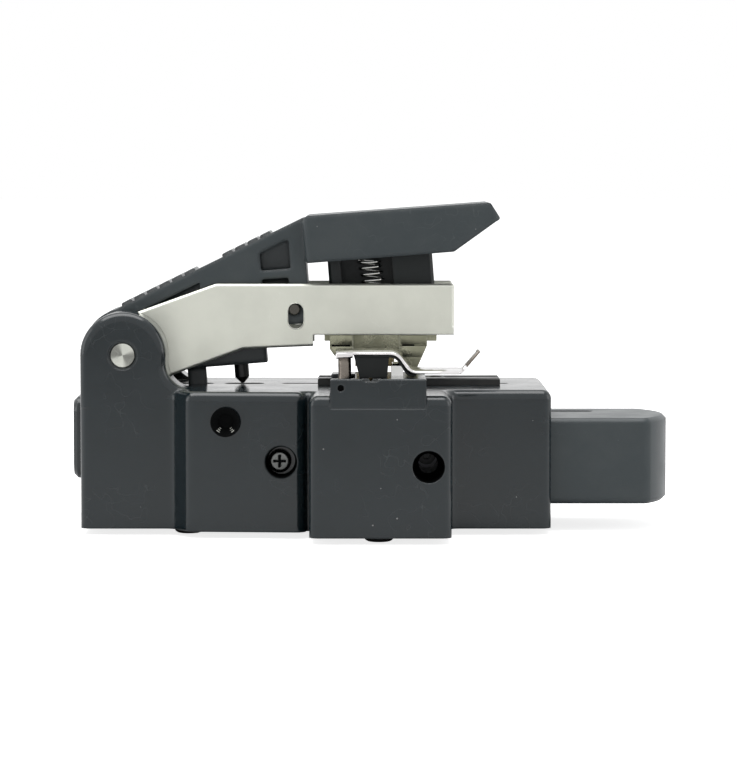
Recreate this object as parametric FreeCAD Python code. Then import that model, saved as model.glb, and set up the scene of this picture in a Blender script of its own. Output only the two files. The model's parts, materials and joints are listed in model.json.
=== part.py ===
import FreeCAD, Part
import os
from math import asin, atan2, cos, degrees, hypot, pi, radians, sin, sqrt, tan

# Optical-fibre cleaver, one node per piece, in millimetres.
# Everything is laid out from the rear lower near corner of the housing: x runs from the rear
# (hinge) face to the front, y from the near flank to the far flank, z up from the bench.
# save() then moves each piece so that the part's origin is the middle of its footprint.
# The press lever is drawn level, as when it is pressed home, and lifted about the hinge pin.

V = FreeCAD.Vector

# ---- housing ----
HOUSING_LENGTH = 95.0
HOUSING_DEPTH = 41.0
HOUSING_HEIGHT = 28.0
FOOT_STAND = 1.3            # bench to underside of the housing
PLAN_ROUND = 2.0            # upright corners
TOP_ROUND = 1.8             # edge round along the top
WALL = 3.5
ROOF = 2.5
EAR_RADIUS = 8.65
EAR_THICKNESS = 10.2
EAR_BLEND = 5.5             # hollow curve from ear to top face
HINGE_RISE = 7.0            # pin centre above the top face
HINGE_PIN_RADIUS = 2.6
PIN_RING = 0.35             # recess round the pin's near end
PIN_SUNK = 0.25
BARREL_RELIEF = 0.5         # housing clear of the lever's barrel
BULGE_REACH = 7.2           # boss for the latch screws, out from the near flank
BULGE_START = 18.6
STAGE_START = 46.45         # fibre stage, also out from the near flank
STAGE_LENGTH = 28.05
STAGE_REACH = 17.4
SEAM = 0.85                 # groove between boss and stage
CAVITY_REAR = 4.0           # wall behind the mechanism
CAVITY_STEP = 6.0           # roof under the hinge, below the top face
SIDE_HOLE_RISE = 14.1       # side holes above the underside
SIDE_HOLE_RADIUS = 3.2
SIDE_HOLE_X = 40.7
SIDE_HOLE_DEPTH = 4.5
SIDE_SCREW_X = 40.35
SIDE_SCREW_HEAD = 2.35
SIDE_SCREW_HEAD_HEIGHT = 1.9
SIDE_SCREW_RADIUS = 1.5
STAGE_HOLE_X = 69.95
STAGE_HOLE_DEPTH = 8.0
STAGE_BORE_RADIUS = 2.05    # narrower bore behind the stage hole
GRUB_X = 29.6
GRUB_DROP = 5.9             # below the top face
GRUB_RADIUS = 1.5
GRUB_MOUTH_RADIUS = 3.25
GRUB_SUNK = 2.4
LEG_SLOT = (19.4, 26.1)     # slots in the top face, from end to end
PIN_SLOT = (28.3, 36.5)
STRIKER_SLOT_WIDTH = 3.6

# ---- clearances ----
RUNNING = 0.04              # radial, shaft in bore
SLIDING = 0.3               # moving piece beside a wall
SEAT = 0.02                 # fixed piece in its pocket
PASS = 1.0                  # how far a cutter runs past the face it opens

# ---- bottom cover, feet, rear cover ----
COVER_THICKNESS = 2.0
COVER_MARGIN = 1.6
FOOT_RADIUS = 2.9
COVER_ROUND = 3.0
FOOT_FLAT = 1.7             # radius of the worn flat
FOOT_INSET = 4.8            # foot centre from a flank
FOOT_REAR_X = 21.7
FOOT_STAGE = (60.2, -10.5)
FOOT_FRONT_X = 78.0
SCREW_RADIUS = 1.0          # shank of all the small screws
SCREW_HEAD = 1.9
SCREW_HEAD_HEIGHT = 1.0
SCREW_LENGTH = 8.5
SCREW_SLOT = 0.5
BOSS = 2.3                  # half width of the corner blocks that take the cover screws
REAR_COVER_PROUD = 2.0
REAR_COVER_WIDTH = 26.0
REAR_COVER_HEIGHT = 16.8
REAR_COVER_LOW = 10.6
REAR_COVER_BEVEL = 0.8
REAR_HEAD_SUNK = 0.2

# ---- blade and slider ----
FIBRE_X = 58.6              # where the fibre crosses the top
BLADE_RADIUS = 8.0
BLADE_THICKNESS = 1.2
BLADE_X = 72.0
BLADE_PROUD = 1.6           # edge of the disc above the top face
BLADE_SLOT_START = 40.2
BLADE_SLOT_END = 87.1
BLADE_SLOT_WIDTH = 2.0
SLIDER_TRAVEL = 22.0
SLIDER_WIDTH = 27.6
SLIDER_HEIGHT = 17.5
SLIDER_CLEAR_BELOW = 4.3    # underside of the slider above that of the housing
SLIDER_SIDE_LENGTH = 20.0   # straight flank outside the housing
SLIDER_NOSE = 4.8           # bow of the rounded end
SLIDER_BEVEL = 0.8
SLIDER_REAR = 83.0
SLIDER_GROOVE_WIDTH = 3.4
SLIDER_GROOVE_DEPTH = 1.2
SLIDER_GROOVE_OFFSET = 5.5  # beyond the middle line
SLIDER_GROOVE_END = 10.0    # beyond the housing's front face
RAIL_WIDTH = 7.0
RAIL_HEIGHT = 4.5
RAIL_START = 37.0
RAIL_FRONT_GAP = 5.0        # rail end behind the housing's front face
RAIL_SCREW_INSET = 6.0
RAIL_NOTCH = 0.8
RAIL_GAP = 0.1
RUNNER_LENGTH = 22.0
RUNNER_WIDTH = 17.0
RUNNER_HEIGHT = 8.0
CARRIAGE_THICKNESS = 2.4
CARRIAGE_TAIL = 3.0         # plate behind the runner
CARRIAGE_WIDTH = 19.0
CARRIAGE_UPRIGHT = 1.8      # thickness of the upright end
CARRIAGE_SCREW_RISE = 5.4   # above the runner
CARRIAGE_SCREW_SPREAD = 7.0
CARRIAGE_LUG = 4.0          # thickness of the lug for the height screw
BLADE_SPINDLE = 1.5
BLADE_EDGE = 0.9            # width of the ground edge
BLADE_SCREW_HEAD = 2.6
BLADE_SCREW_HEIGHT = 1.78
BLADE_POST_GAP = 0.5
BLADE_POST = 5.0

# ---- latch under the roof ----
LATCH_X = 32.5
LATCH_TONGUE = 2.2
LATCH_LENGTH = 6.0
LATCH_DROP = 14.5           # underside of its guide below the top face
LATCH_SEAT_RADIUS = 2.3
LATCH_SEAT_DEPTH = 3.0
LATCH_SHOULDER = 3.0        # below the roof
LATCH_SEAT = 1.0            # headroom over the shoulder
LATCH_SUNK = 0.25           # tongue below the top face
DRIVE_COIL = 2.0
DRIVE_WIRE = 0.3
DRIVE_INSET = 9.0           # slider spring inside the far flank, and the carriage's tab that it pushes
DRIVE_TAB = 3.0

# ---- lower clamps and fibre adapter ----
CLAMP_RAIL_HEIGHT = 1.4
CLAMP_RAIL_WIDTH = 4.2
CLAMP_RAIL_START = 47.7
CLAMP_RAIL_END = 85.2
CLAMP_PAD_LENGTH = 9.0
PAD_PROUD = 0.1
PAD_SUNK = 0.7
ADAPTER_LENGTH = 18.8
ADAPTER_HEIGHT = 5.9
ADAPTER_DEPTH = 22.4
ADAPTER_OFFSET = 1.45       # adapter's middle line beyond the fibre
ADAPTER_SINK = 2.5
LID_PIN_RADIUS = 0.65
LID_PIN_INSET = 2.05
LID_PIN_DROP = 1.8
LID_WIDTH = 13.6
LID_SHEET = 0.45
LID_RISE = 4.6              # underside of the leaf above the adapter
LID_STEP = 3.8              # how far the leaf steps down past the adapter
LID_INSET = 2.0             # lid's near edge behind the stage's face
LID_KNUCKLE = 1.3
LID_PIN_SUNK = 0.6
LID_PIN_SEAT = 2.4          # pin beyond the lid's far edge
LID_BEND_ROUND = 0.9
LID_POST = (0.6, 2.0)       # upright between knuckle and leaf, either side of the pivot
LID_CAP = (0.8, 2.4)        # thick part under the leaf's rear end
LID_CAP_DROP = 0.8
LID_PAD_BASE = (-2.2, 3.2)  # from the fibre
LID_PAD_HEAD = (-3.4, 3.6)
LID_PAD_GAP = 0.05
VEE_HALF = 0.45
VEE_DEPTH = 0.6
RELIEF_HALF = 2.0           # wider mouth of the groove at the near face
RELIEF_LENGTH = 1.2
LID_FLAT = 12.4             # from the knuckle to the bend
LID_BEND = 2.0
LID_TAIL = 10.2
TAB_INSET = 4.0
TAB_RUN = 3.4
TAB_SLOPE = 1.25
MAGNET = (4.0, 6.4)         # from the fibre
MAGNET_INSET = 3.0
MAGNET_SUNK = 1.0
MAGNET_RISE = 2.7

# ---- arm ----
ARM_GAP = 0.3               # arm plate to ear
ARM_SHEET = 1.6
ARM_TOP_RISE = 14.0         # top edge above the pin
ARM_WEB_RISE = 3.6          # underside of the web above the pin
ARM_DROP = 2.3              # how far the rear half hangs below the web
ARM_REACH = 66.95           # pin to free end
ARM_END_RADIUS = 7.0
ARM_SHOULDER = 18.3         # pin to where the top edge levels out
ARM_STEP_X = 38.15          # pin to the step in the lower edge
ARM_BELLY_X = 23.85         # pin to the lowest point of the rear half
ARM_BELLY_SAG = 0.6
ARM_WEB_X = 38.75           # pin to where the web starts
SLOT_RADIUS = 1.65
BEVEL = 0.4
ARM_SCREWS = (-5.4, 9.0)    # clamp screws from the fibre

# ---- press lever ----
PRESS_ANGLE = 4.5
BARREL_RADIUS = 9.0
LEVER_SLOPE = 21.55
LEVER_WALL = 2.6
PALM_START = 38.0           # all from the pin, with the lever level
PALM_LENGTH = 40.3
PALM_LOW = 15.3
PALM_THICKNESS = 9.6
PALM_WIDTH = 24.0
PALM_ROUND = 1.4
LIMIT_PIN_RADIUS = 1.15
LIMIT_PIN_X = 34.93
LIMIT_PIN_Z = 6.08
LEVER_THROAT = 16.0         # pin to where the web starts, and its height above the pin
LEVER_FLOOR = 3.0
LEVER_RIB = 1.8
WINDOW = (28.7, 34.8)       # hollows in the web, from the pin
WINDOW_RIB = 14.4           # top of the rib between them, above the pin
WINDOW_SILL = 8.8
WINDOW_DEPTH = 4.2
NOSE_LENGTH = 10.0
NOSE_RISE = 5.4
NOSE_CELLS = 3
RIB_START = 3.2
RIB_GAP = (6, 8, 12)        # six bars, two left out, then on to the twelfth
RIB_PITCH = 2.87
RIB_HEIGHT = 0.6
STRIKER_PIN_RADIUS = 1.5
STRIKER_PIN_X = 22.8
STRIKER_LEG_X = 11.65
STRIKER_LEG_LENGTH = 3.8
STRIKER_THICKNESS = 2.8
STRIKER_WIDTH = 7.0
STRIKER_END_X = 28.3
STRIKER_DROP = 4.65         # underside of the bar below the pin
STRIKER_SCREWS = (19.0, 26.4)
HEAD_SINK = 1.6             # screw seat above the bar's underside
LEG_REACH = 2.3             # below the top face when pressed
PIN_TIP = 1.25
PIN_SHANK = 3.5
PIN_INSET = 0.4             # limit pin inside the arm plates' outer faces
PLUNGER_X = 42.4            # from the pin
PLUNGER_LENGTH = 21.5
PLUNGER_SIDE_GAP = 1.4      # to the inside of the arm plate
PLUNGER_WINDOW = (-7.4, 3.2)  # side windows, from the springs' middle
SPRING_X_OFFSET = 52.4
SPRING_COIL = 2.25
SPRING_WIRE = 0.25
SPRING_LEAN = 12.0
SPRING_HEIGHT = 13.6
SPRING_INSET = 1.7          # spring middle inside the plunger's flank

# ---- upper clamp ----
FLANGE_THICKNESS = 1.35
FLANGE = (-9.5, 13.5)       # ends, from the fibre
FLANGE_WIDTH = 15.4
BRACKET = (-8.4, 11.5)      # ends, from the fibre
BRACKET_DROP = 3.6          # underside below the arm's web
BRACKET_SIDE_GAP = 0.5
BRACKET_RECESS = (-3.65, 5.8)
BRACKET_RECESS_DEPTH = 1.4
BRACKET_HEEL = 0.7
BRACKET_LINE = 0.3          # parting line round the legs
LEG = (7.4, 9.6)            # stop leg, from the fibre
LEG_WAIST = 2.7             # where the leg leaves its taper, above the rails
STOP_GAP = 0.35
DISC_WAY = 3.2              # width of the way for the disc under the leg
POST_RADIUS = 0.8
POST_SPREAD = 5.0
POST_OFFSET = -0.5          # guide posts from the fibre
FLOAT_TRAVEL = 0.8
CLAMP_SPAN = (-3.2, 4.8)    # floating head, from the fibre
CLAMP_HALF = 7.0
PAD_THICKNESS = 1.0
PAD_GAP = 0.3
PAD_MARGIN = 0.5
ANVIL_THICKNESS = 1.2
ANVIL_LENGTH = 5.0
ANVIL_OFFSET = 0.8          # anvil's middle beyond the fibre
ANVIL_SHOULDER = 1.2
ANVIL_SEAT = 5.0            # depth in the plunger
ANVIL_TIP_LENGTH = 1.3
ANVIL_BITE = 0.4            # tip below the clamp rails when pressed
ANVIL_SIDE_GAP = 0.5

# ---- derived datums ----
BOTTOM = FOOT_STAND
TOP = BOTTOM + HOUSING_HEIGHT
MID_Y = HOUSING_DEPTH / 2
HINGE = V(EAR_RADIUS, MID_Y, TOP + HINGE_RISE)
EAR_INNER = EAR_THICKNESS
ARM_NEAR = EAR_INNER + ARM_GAP
ARM_FAR = HOUSING_DEPTH - ARM_NEAR
COVER_TOP = BOTTOM + COVER_THICKNESS
SLIDER_NEAR = MID_Y - SLIDER_WIDTH / 2
SLIDER_LOW = BOTTOM + SLIDER_CLEAR_BELOW
SLIDER_TIP = HOUSING_LENGTH + SLIDER_SIDE_LENGTH + SLIDER_NOSE
SIDE_HOLE_Z = BOTTOM + SIDE_HOLE_RISE
GRUB_Z = TOP - GRUB_DROP
CAVITY_ROOF = TOP - ROOF
RAIL_END = HOUSING_LENGTH - RAIL_FRONT_GAP
BLADE_NEAR = MID_Y - BLADE_THICKNESS / 2
BLADE_FAR = MID_Y + BLADE_THICKNESS / 2
LATCH_GUIDE_LOW = TOP - LATCH_DROP
BLADE_Z = TOP + BLADE_PROUD - BLADE_RADIUS
RAIL_TOP = COVER_TOP + RAIL_HEIGHT
RUNNER_TOP = COVER_TOP + SLIDING + RUNNER_HEIGHT
CLAMP_TOP = TOP + CLAMP_RAIL_HEIGHT
ADAPTER_TOP = TOP - ADAPTER_SINK + ADAPTER_HEIGHT
ADAPTER_START = FIBRE_X + ADAPTER_OFFSET - ADAPTER_LENGTH / 2
LID_X = ADAPTER_START + LID_PIN_INSET
LID_Z = ADAPTER_TOP - LID_PIN_DROP
LID_NEAR = LID_INSET - STAGE_REACH
LID_FAR = LID_NEAR + LID_WIDTH
ARM_TOP = HINGE.z + ARM_TOP_RISE
WEB_LOW = HINGE.z + ARM_WEB_RISE
WEB_TOP = WEB_LOW + ARM_SHEET
ARM_END = HINGE.x + ARM_REACH
PLATES = ((ARM_NEAR, ARM_NEAR + ARM_SHEET), (ARM_FAR - ARM_SHEET, ARM_FAR))
WEB_START = HINGE.x + ARM_WEB_X
FLANGE_LOW = WEB_LOW - FLANGE_THICKNESS
BRACKET_LOW = WEB_LOW - BRACKET_DROP
STOP_LOW = CLAMP_TOP + STOP_GAP
PAD_LOW = CLAMP_TOP + PAD_PROUD + PAD_GAP
CLAMP_TOP_FACE = BRACKET_LOW - FLOAT_TRAVEL - 0.2
GUIDE_POSTS = ((FIBRE_X + POST_OFFSET, MID_Y - POST_SPREAD), (FIBRE_X + POST_OFFSET, MID_Y + POST_SPREAD))
WEB_NEAR = ARM_NEAR + ARM_SHEET + SLIDING
WEB_FAR = HOUSING_DEPTH - WEB_NEAR
PALM_X = HINGE.x + PALM_START
PALM_Z = HINGE.z + PALM_LOW
PALM_TOP = PALM_Z + PALM_THICKNESS
STRIKER_TOP = HINGE.z + 0.7
STRIKER_LOW = HINGE.z - STRIKER_DROP
PLUNGER_LOW = WEB_TOP + 0.5
PLUNGER_START = HINGE.x + PLUNGER_X
PLUNGER_HALF = MID_Y - ARM_NEAR - ARM_SHEET - PLUNGER_SIDE_GAP
SPRING_X = HINGE.x + SPRING_X_OFFSET
SPRING_PLACES = (MID_Y - PLUNGER_HALF + SPRING_INSET, MID_Y + PLUNGER_HALF - SPRING_INSET)
ANVIL_X = FIBRE_X + ANVIL_OFFSET
ORIGIN = V((SLIDER_TIP - REAR_COVER_PROUD) / 2, (HOUSING_DEPTH - STAGE_REACH) / 2, 0)


# ---- drawing helpers ----
def block(x0, x1, y0, y1, z0, z1):
    return Part.makeBox(x1 - x0, y1 - y0, z1 - z0, V(x0, y0, z0))


def rod_x(y, z, radius, x0, x1):
    return Part.makeCylinder(radius, x1 - x0, V(x0, y, z), V(1, 0, 0))


def rod_y(x, z, radius, y0, y1):
    return Part.makeCylinder(radius, y1 - y0, V(x, y0, z), V(0, 1, 0))


def rod_z(x, y, radius, z0, z1):
    return Part.makeCylinder(radius, z1 - z0, V(x, y, z0))


def cone_y(x, z, radius0, radius1, y0, y1):
    return Part.makeCone(radius0, radius1, y1 - y0, V(x, y0, z), V(0, 1, 0))


def cone_z(x, y, radius0, radius1, z0, z1):
    return Part.makeCone(radius0, radius1, z1 - z0, V(x, y, z0))


def rounded_wire(corners, place):
    """Closed wire through corners (u, v, radius), each turned by a tangent arc."""
    spots = [place(u, v) for u, v, radius in corners]
    turns = []
    for i, (u, v, radius) in enumerate(corners):
        here = spots[i]
        back = (spots[i - 1] - here).normalize()
        ahead = (spots[(i + 1) % len(spots)] - here).normalize()
        if radius == 0:
            turns.append((here, None, here))
            continue
        half = back.getAngle(ahead) / 2
        run = radius / tan(half)
        middle = here + (back + ahead).normalize() * (radius / sin(half) - radius)
        turns.append((here + back * run, middle, here + ahead * run))
    edges = []
    for i, (start, middle, end) in enumerate(turns):
        if middle is not None:
            edges.append(Part.Arc(start, middle, end).toShape())
        following = turns[(i + 1) % len(turns)][0]
        if end.distanceToPoint(following) > 1e-6:
            edges.append(Part.makeLine(end, following))
    return Part.Wire(edges)


def plate_xy(corners, z0, z1):
    face = Part.Face(rounded_wire(corners, lambda u, v: V(u, v, z0)))
    return face.extrude(V(0, 0, z1 - z0))


def plate_xz(corners, y0, y1):
    face = Part.Face(rounded_wire(corners, lambda u, v: V(u, y0, v)))
    return face.extrude(V(0, y1 - y0, 0))


def plate_yz(corners, x0, x1):
    face = Part.Face(rounded_wire(corners, lambda u, v: V(x0, u, v)))
    return face.extrude(V(x1 - x0, 0, 0))


def rectangle(u0, u1, v0, v1, radius=0):
    return [(u0, v0, radius), (u1, v0, radius), (u1, v1, radius), (u0, v1, radius)]


def slot_z(x0, x1, y, width, z0, z1):
    """Round-ended slot along X, cut from z0 up to z1."""
    half = width / 2
    body = block(x0 + half, x1 - half, y - half, y + half, z0, z1)
    return body.fuse([rod_z(x0 + half, y, half, z0, z1), rod_z(x1 - half, y, half, z0, z1)])


def slot_y(x, z0, z1, radius, y0, y1):
    """Round-ended upright slot, cut from y0 to y1."""
    body = block(x - radius, x + radius, y0, y1, z0 + radius, z1 - radius)
    ends = [rod_y(x, z0 + radius, radius, y0, y1), rod_y(x, z1 - radius, radius, y0, y1)]
    return body.fuse(ends)


def round_edges(shape, radius, wanted):
    return shape.makeFillet(radius, [e for e in shape.Edges if wanted(e.BoundBox)])


def bevel_edges(shape, size, wanted):
    return shape.makeChamfer(size, [e for e in shape.Edges if wanted(e.BoundBox)])


def coil_spring(x, y, z0, z1, radius, wire, turns, lean=0):
    """Helical spring standing on z0, its wire in short straight lengths; lean tilts it to -X."""
    around, sides = 8, 4
    height = z1 - z0 - 2 * wire
    stations = int(turns * around)
    rings = []
    for i in range(stations + 1):
        turn = 2 * pi * i / around
        outward = V(cos(turn), sin(turn), 0)
        centre = outward * radius + V(0, 0, wire + height * i / stations)
        rings.append([centre + outward * (wire * cos(2 * pi * k / sides)) + V(0, 0, wire * sin(2 * pi * k / sides))
                      for k in range(sides)])
    faces = [triangle_fan(rings[0]), triangle_fan(rings[-1])]
    for lower, upper in zip(rings, rings[1:]):
        for k in range(sides):
            a, b = lower[k], lower[(k + 1) % sides]
            c, d = upper[(k + 1) % sides], upper[k]
            faces += [triangle_fan([a, b, c]), triangle_fan([a, c, d])]
    spring = Part.makeSolid(Part.makeShell(faces))
    spring.rotate(V(0, 0, 0), V(0, 1, 0), -lean)
    return spring.translated(V(x, y, z0))


def triangle_fan(points):
    """Flat face through three or more points."""
    return Part.Face(Part.makePolygon(points + points[:1]))


def polar_about_hinge(radius, angle):
    return V(HINGE.x + radius * cos(radians(angle)), 0, HINGE.z + radius * sin(radians(angle)))


def lifted(shape):
    """The level lever, turned up to where its springs hold it."""
    raised = shape.copy()
    raised.rotate(HINGE, V(0, -1, 0), PRESS_ANGLE)
    return raised


def socket_screw(x, y, z, head, head_height, shank, length):
    """Cap screw along +Y whose head starts at y; the shank runs on into the work."""
    body = rod_y(x, z, head, y, y + head_height)
    body = body.fuse(rod_y(x, z, shank, y + head_height, y + head_height + length))
    return body.cut(hex_socket(x, y, z, head * 0.5, head_height * 0.6))


def hex_socket(x, y, z, radius, depth):
    corners = [(x + radius * cos(radians(60 * i)), z + radius * sin(radians(60 * i)), 0)
               for i in range(6)]
    return plate_xz(corners, y, y + depth)


def slotted_screw(x, y, z, length):
    """Flat-headed screw driven upwards, its head flush with z."""
    head = rod_z(x, y, SCREW_HEAD, z, z + SCREW_HEAD_HEIGHT)
    body = head.fuse(rod_z(x, y, SCREW_RADIUS, z + SCREW_HEAD_HEIGHT, z + length))
    return body.cut(block(x - SCREW_HEAD, x + SCREW_HEAD, y - SCREW_SLOT / 2, y + SCREW_SLOT / 2,
                          z - PASS, z + SCREW_SLOT))


# ---- housing ----
def housing_plan():
    """Outline of the housing seen from above, from the rear near corner round to the front."""
    stage_end = STAGE_START + STAGE_LENGTH
    bulge_end = STAGE_START - SEAM
    return [(0, 0, PLAN_ROUND), (BULGE_START, 0, 2.4), (BULGE_START + 3.6, -BULGE_REACH + 1.6, 2.6),
            (bulge_end, -BULGE_REACH, PLAN_ROUND), (bulge_end, -BULGE_REACH + 2.8, SEAM * 0.45),
            (STAGE_START, -BULGE_REACH + 2.8, SEAM * 0.45), (STAGE_START, -STAGE_REACH, PLAN_ROUND),
            (stage_end, -STAGE_REACH, PLAN_ROUND), (stage_end, 0, PLAN_ROUND),
            (HOUSING_LENGTH, 0, PLAN_ROUND), (HOUSING_LENGTH, HOUSING_DEPTH, PLAN_ROUND),
            (0, HOUSING_DEPTH, PLAN_ROUND)]


def ear(y0, y1, outer_y):
    """Round-topped ear with the hollow blend down to the top face, its outer edge rounded."""
    foot = TOP - TOP_ROUND * 2
    pin = V(HINGE.x, y0, HINGE.z)
    reach = sqrt((EAR_RADIUS + EAR_BLEND) ** 2 - (HINGE_RISE - EAR_BLEND) ** 2)
    hollow = V(HINGE.x + reach, y0, TOP + EAR_BLEND)
    meet = pin + (hollow - pin).normalize() * EAR_RADIUS
    low = hollow - V(0, 0, EAR_BLEND)
    hollow_way = ((meet - hollow).normalize() + V(0, 0, -1)).normalize()
    corner = low + V(TOP_ROUND, 0, 0)
    edges = [Part.makeLine(V(0, y0, foot), V(0, y0, HINGE.z)),
             Part.Arc(V(0, y0, HINGE.z), pin + V(0, 0, EAR_RADIUS), meet).toShape(),
             Part.Arc(meet, hollow + hollow_way * EAR_BLEND, low).toShape(),
             Part.makeLine(low, corner),
             Part.makeLine(corner, V(corner.x, y0, foot)),
             Part.makeLine(V(corner.x, y0, foot), V(0, y0, foot))]
    body = Part.Face(Part.Wire(edges)).extrude(V(0, y1 - y0, 0))
    return round_edges(body, TOP_ROUND, lambda b: abs(b.YMin - outer_y) < 0.01
                       and abs(b.YMax - outer_y) < 0.01 and b.ZMax > foot + 0.1
                       and b.XMin < low.x - 0.1)


def cover_plan(gap=0.0):
    """Outline of the bottom cover, or of its pocket when given a gap."""
    margin = COVER_MARGIN - gap
    return rectangle(margin, HOUSING_LENGTH - margin, margin, HOUSING_DEPTH - margin, COVER_ROUND)


def cover_screw_places():
    inset = COVER_MARGIN + BOSS
    return [(x, y) for x in (inset + SCREW_HEAD, HOUSING_LENGTH - inset - SCREW_HEAD)
            for y in (inset, HOUSING_DEPTH - inset)]


def rear_screw_places():
    middle = REAR_COVER_LOW + REAR_COVER_HEIGHT / 2
    spread = REAR_COVER_WIDTH / 2 - SCREW_HEAD * 2
    return [(MID_Y - spread, middle), (MID_Y + spread, middle)]


def base_housing():
    body = plate_xy(housing_plan(), BOTTOM, TOP)
    body = round_edges(body, TOP_ROUND, lambda b: b.ZMin > TOP - 0.01)
    ears = [ear(0, EAR_THICKNESS, 0), ear(HOUSING_DEPTH - EAR_THICKNESS, HOUSING_DEPTH, HOUSING_DEPTH)]
    body = body.fuse(ears)
    cuts = [rod_y(HINGE.x, HINGE.z, HINGE_PIN_RADIUS, -PASS, HOUSING_DEPTH + PASS),
            rod_y(HINGE.x, HINGE.z, HINGE_PIN_RADIUS + PIN_RING, -PASS, PIN_RING),
            rod_y(HINGE.x, HINGE.z, BARREL_RADIUS + BARREL_RELIEF, EAR_THICKNESS, HOUSING_DEPTH - EAR_THICKNESS)]
    return body.cut(cuts + mechanism_space() + top_slots() + side_holes() + housing_screw_holes())


def mechanism_space():
    """Cavity stepped down under the hinge barrel, open below for the cover and in front for the slider."""
    step = HINGE.x + BARREL_RADIUS + BARREL_RELIEF
    far_wall = HOUSING_DEPTH - WALL
    front = HOUSING_LENGTH - WALL
    rear_part = block(CAVITY_REAR, front, WALL, far_wall, BOTTOM, TOP - CAVITY_STEP)
    front_part = block(step, front, WALL, far_wall, BOTTOM, CAVITY_ROOF)
    corners = [block(x - BOSS, x + BOSS, y - BOSS, y + BOSS, COVER_TOP, CAVITY_ROOF)
               for x, y in cover_screw_places()]
    mouth = plate_yz(rectangle(SLIDER_NEAR - SLIDING, SLIDER_NEAR + SLIDER_WIDTH + SLIDING, SLIDER_LOW - SLIDING,
                               SLIDER_LOW + SLIDER_HEIGHT + SLIDING), front - PASS, HOUSING_LENGTH + PASS)
    return [rear_part.cut(corners), front_part.cut(corners), mouth,
            plate_xy(cover_plan(SEAT), BOTTOM - PASS, COVER_TOP)]


def top_slots():
    spans = ((BLADE_SLOT_START, BLADE_SLOT_END, BLADE_SLOT_WIDTH), (*LEG_SLOT, STRIKER_SLOT_WIDTH),
             (*PIN_SLOT, STRIKER_SLOT_WIDTH))
    slots = [slot_z(x0, x1, MID_Y, width, CAVITY_ROOF - PASS, TOP + PASS) for x0, x1, width in spans]
    notch = block(ADAPTER_START - SEAT, ADAPTER_START + ADAPTER_LENGTH + SEAT, -STAGE_REACH - PASS,
                  ADAPTER_DEPTH - STAGE_REACH + SEAT, TOP - ADAPTER_SINK, TOP + PASS)
    return slots + [notch]


def side_holes():
    """Two counterbored holes and the grub screw's threaded hole, all from the near side."""
    inside = WALL + PASS
    return [rod_y(SIDE_HOLE_X, SIDE_HOLE_Z, SIDE_HOLE_RADIUS, -BULGE_REACH - PASS, SIDE_HOLE_DEPTH - BULGE_REACH),
            rod_y(SIDE_SCREW_X, SIDE_HOLE_Z, SIDE_SCREW_RADIUS, -BULGE_REACH, inside),
            rod_y(STAGE_HOLE_X, SIDE_HOLE_Z, SIDE_HOLE_RADIUS, -STAGE_REACH - PASS, STAGE_HOLE_DEPTH - STAGE_REACH),
            rod_y(STAGE_HOLE_X, SIDE_HOLE_Z, STAGE_BORE_RADIUS, -STAGE_REACH, inside),
            rod_y(GRUB_X, GRUB_Z, GRUB_RADIUS, -BULGE_REACH - PASS, inside),
            cone_y(GRUB_X, GRUB_Z, GRUB_MOUTH_RADIUS, GRUB_RADIUS, -BULGE_REACH - 0.2, GRUB_SUNK - 0.2 - BULGE_REACH)]


def housing_screw_holes():
    holes = [rod_z(x, y, SCREW_RADIUS, BOTTOM, BOTTOM + SCREW_LENGTH + 0.5) for x, y in cover_screw_places()]
    return holes + [rod_x(y, z, SCREW_RADIUS, -PASS, CAVITY_REAR - 0.5) for y, z in rear_screw_places()]


def bottom_cover():
    plate = plate_xy(cover_plan(), BOTTOM, COVER_TOP)
    holes = []
    for x, y in cover_screw_places():
        holes.append(rod_z(x, y, SCREW_RADIUS, BOTTOM, COVER_TOP))
        holes.append(rod_z(x, y, SCREW_HEAD + SEAT, BOTTOM - PASS, BOTTOM + SCREW_HEAD_HEIGHT))
    return plate.cut(holes)


def cover_screws():
    return Part.makeCompound([slotted_screw(x, y, BOTTOM, SCREW_LENGTH) for x, y in cover_screw_places()])


def foot_places():
    far = HOUSING_DEPTH - FOOT_INSET
    return [(FOOT_REAR_X, FOOT_INSET), FOOT_STAGE, (FOOT_REAR_X, far), (FOOT_FRONT_X, far)]


def rubber_feet():
    """Low tapered pads stuck under the housing, flat where they stand."""
    return Part.makeCompound([cone_z(x, y, FOOT_FLAT, FOOT_RADIUS, 0, FOOT_STAND) for x, y in foot_places()])


def rear_cover():
    y0 = MID_Y - REAR_COVER_WIDTH / 2
    outline = rectangle(y0, y0 + REAR_COVER_WIDTH, REAR_COVER_LOW, REAR_COVER_LOW + REAR_COVER_HEIGHT, COVER_ROUND)
    plate = plate_yz(outline, -REAR_COVER_PROUD, 0)
    plate = bevel_edges(plate, REAR_COVER_BEVEL, lambda b: b.XMax < -REAR_COVER_PROUD + 0.01)
    seat = REAR_HEAD_SUNK + SCREW_HEAD_HEIGHT - REAR_COVER_PROUD
    holes = []
    for y, z in rear_screw_places():
        holes.append(rod_x(y, z, SCREW_RADIUS, -REAR_COVER_PROUD, PASS))
        holes.append(rod_x(y, z, SCREW_HEAD + 0.1, -REAR_COVER_PROUD - PASS, seat))
    return plate.cut(holes)


def rear_cover_screws():
    face = REAR_HEAD_SUNK - REAR_COVER_PROUD
    seat = face + SCREW_HEAD_HEIGHT
    screws = []
    for y, z in rear_screw_places():
        screw = rod_x(y, z, SCREW_HEAD, face, seat).fuse(rod_x(y, z, SCREW_RADIUS, seat, CAVITY_REAR - PASS))
        screws.append(screw.cut(block(face - PASS, face + SCREW_SLOT, y - SCREW_SLOT / 2, y + SCREW_SLOT / 2,
                                      z - SCREW_HEAD, z + SCREW_HEAD)))
    return Part.makeCompound(screws)


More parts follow.
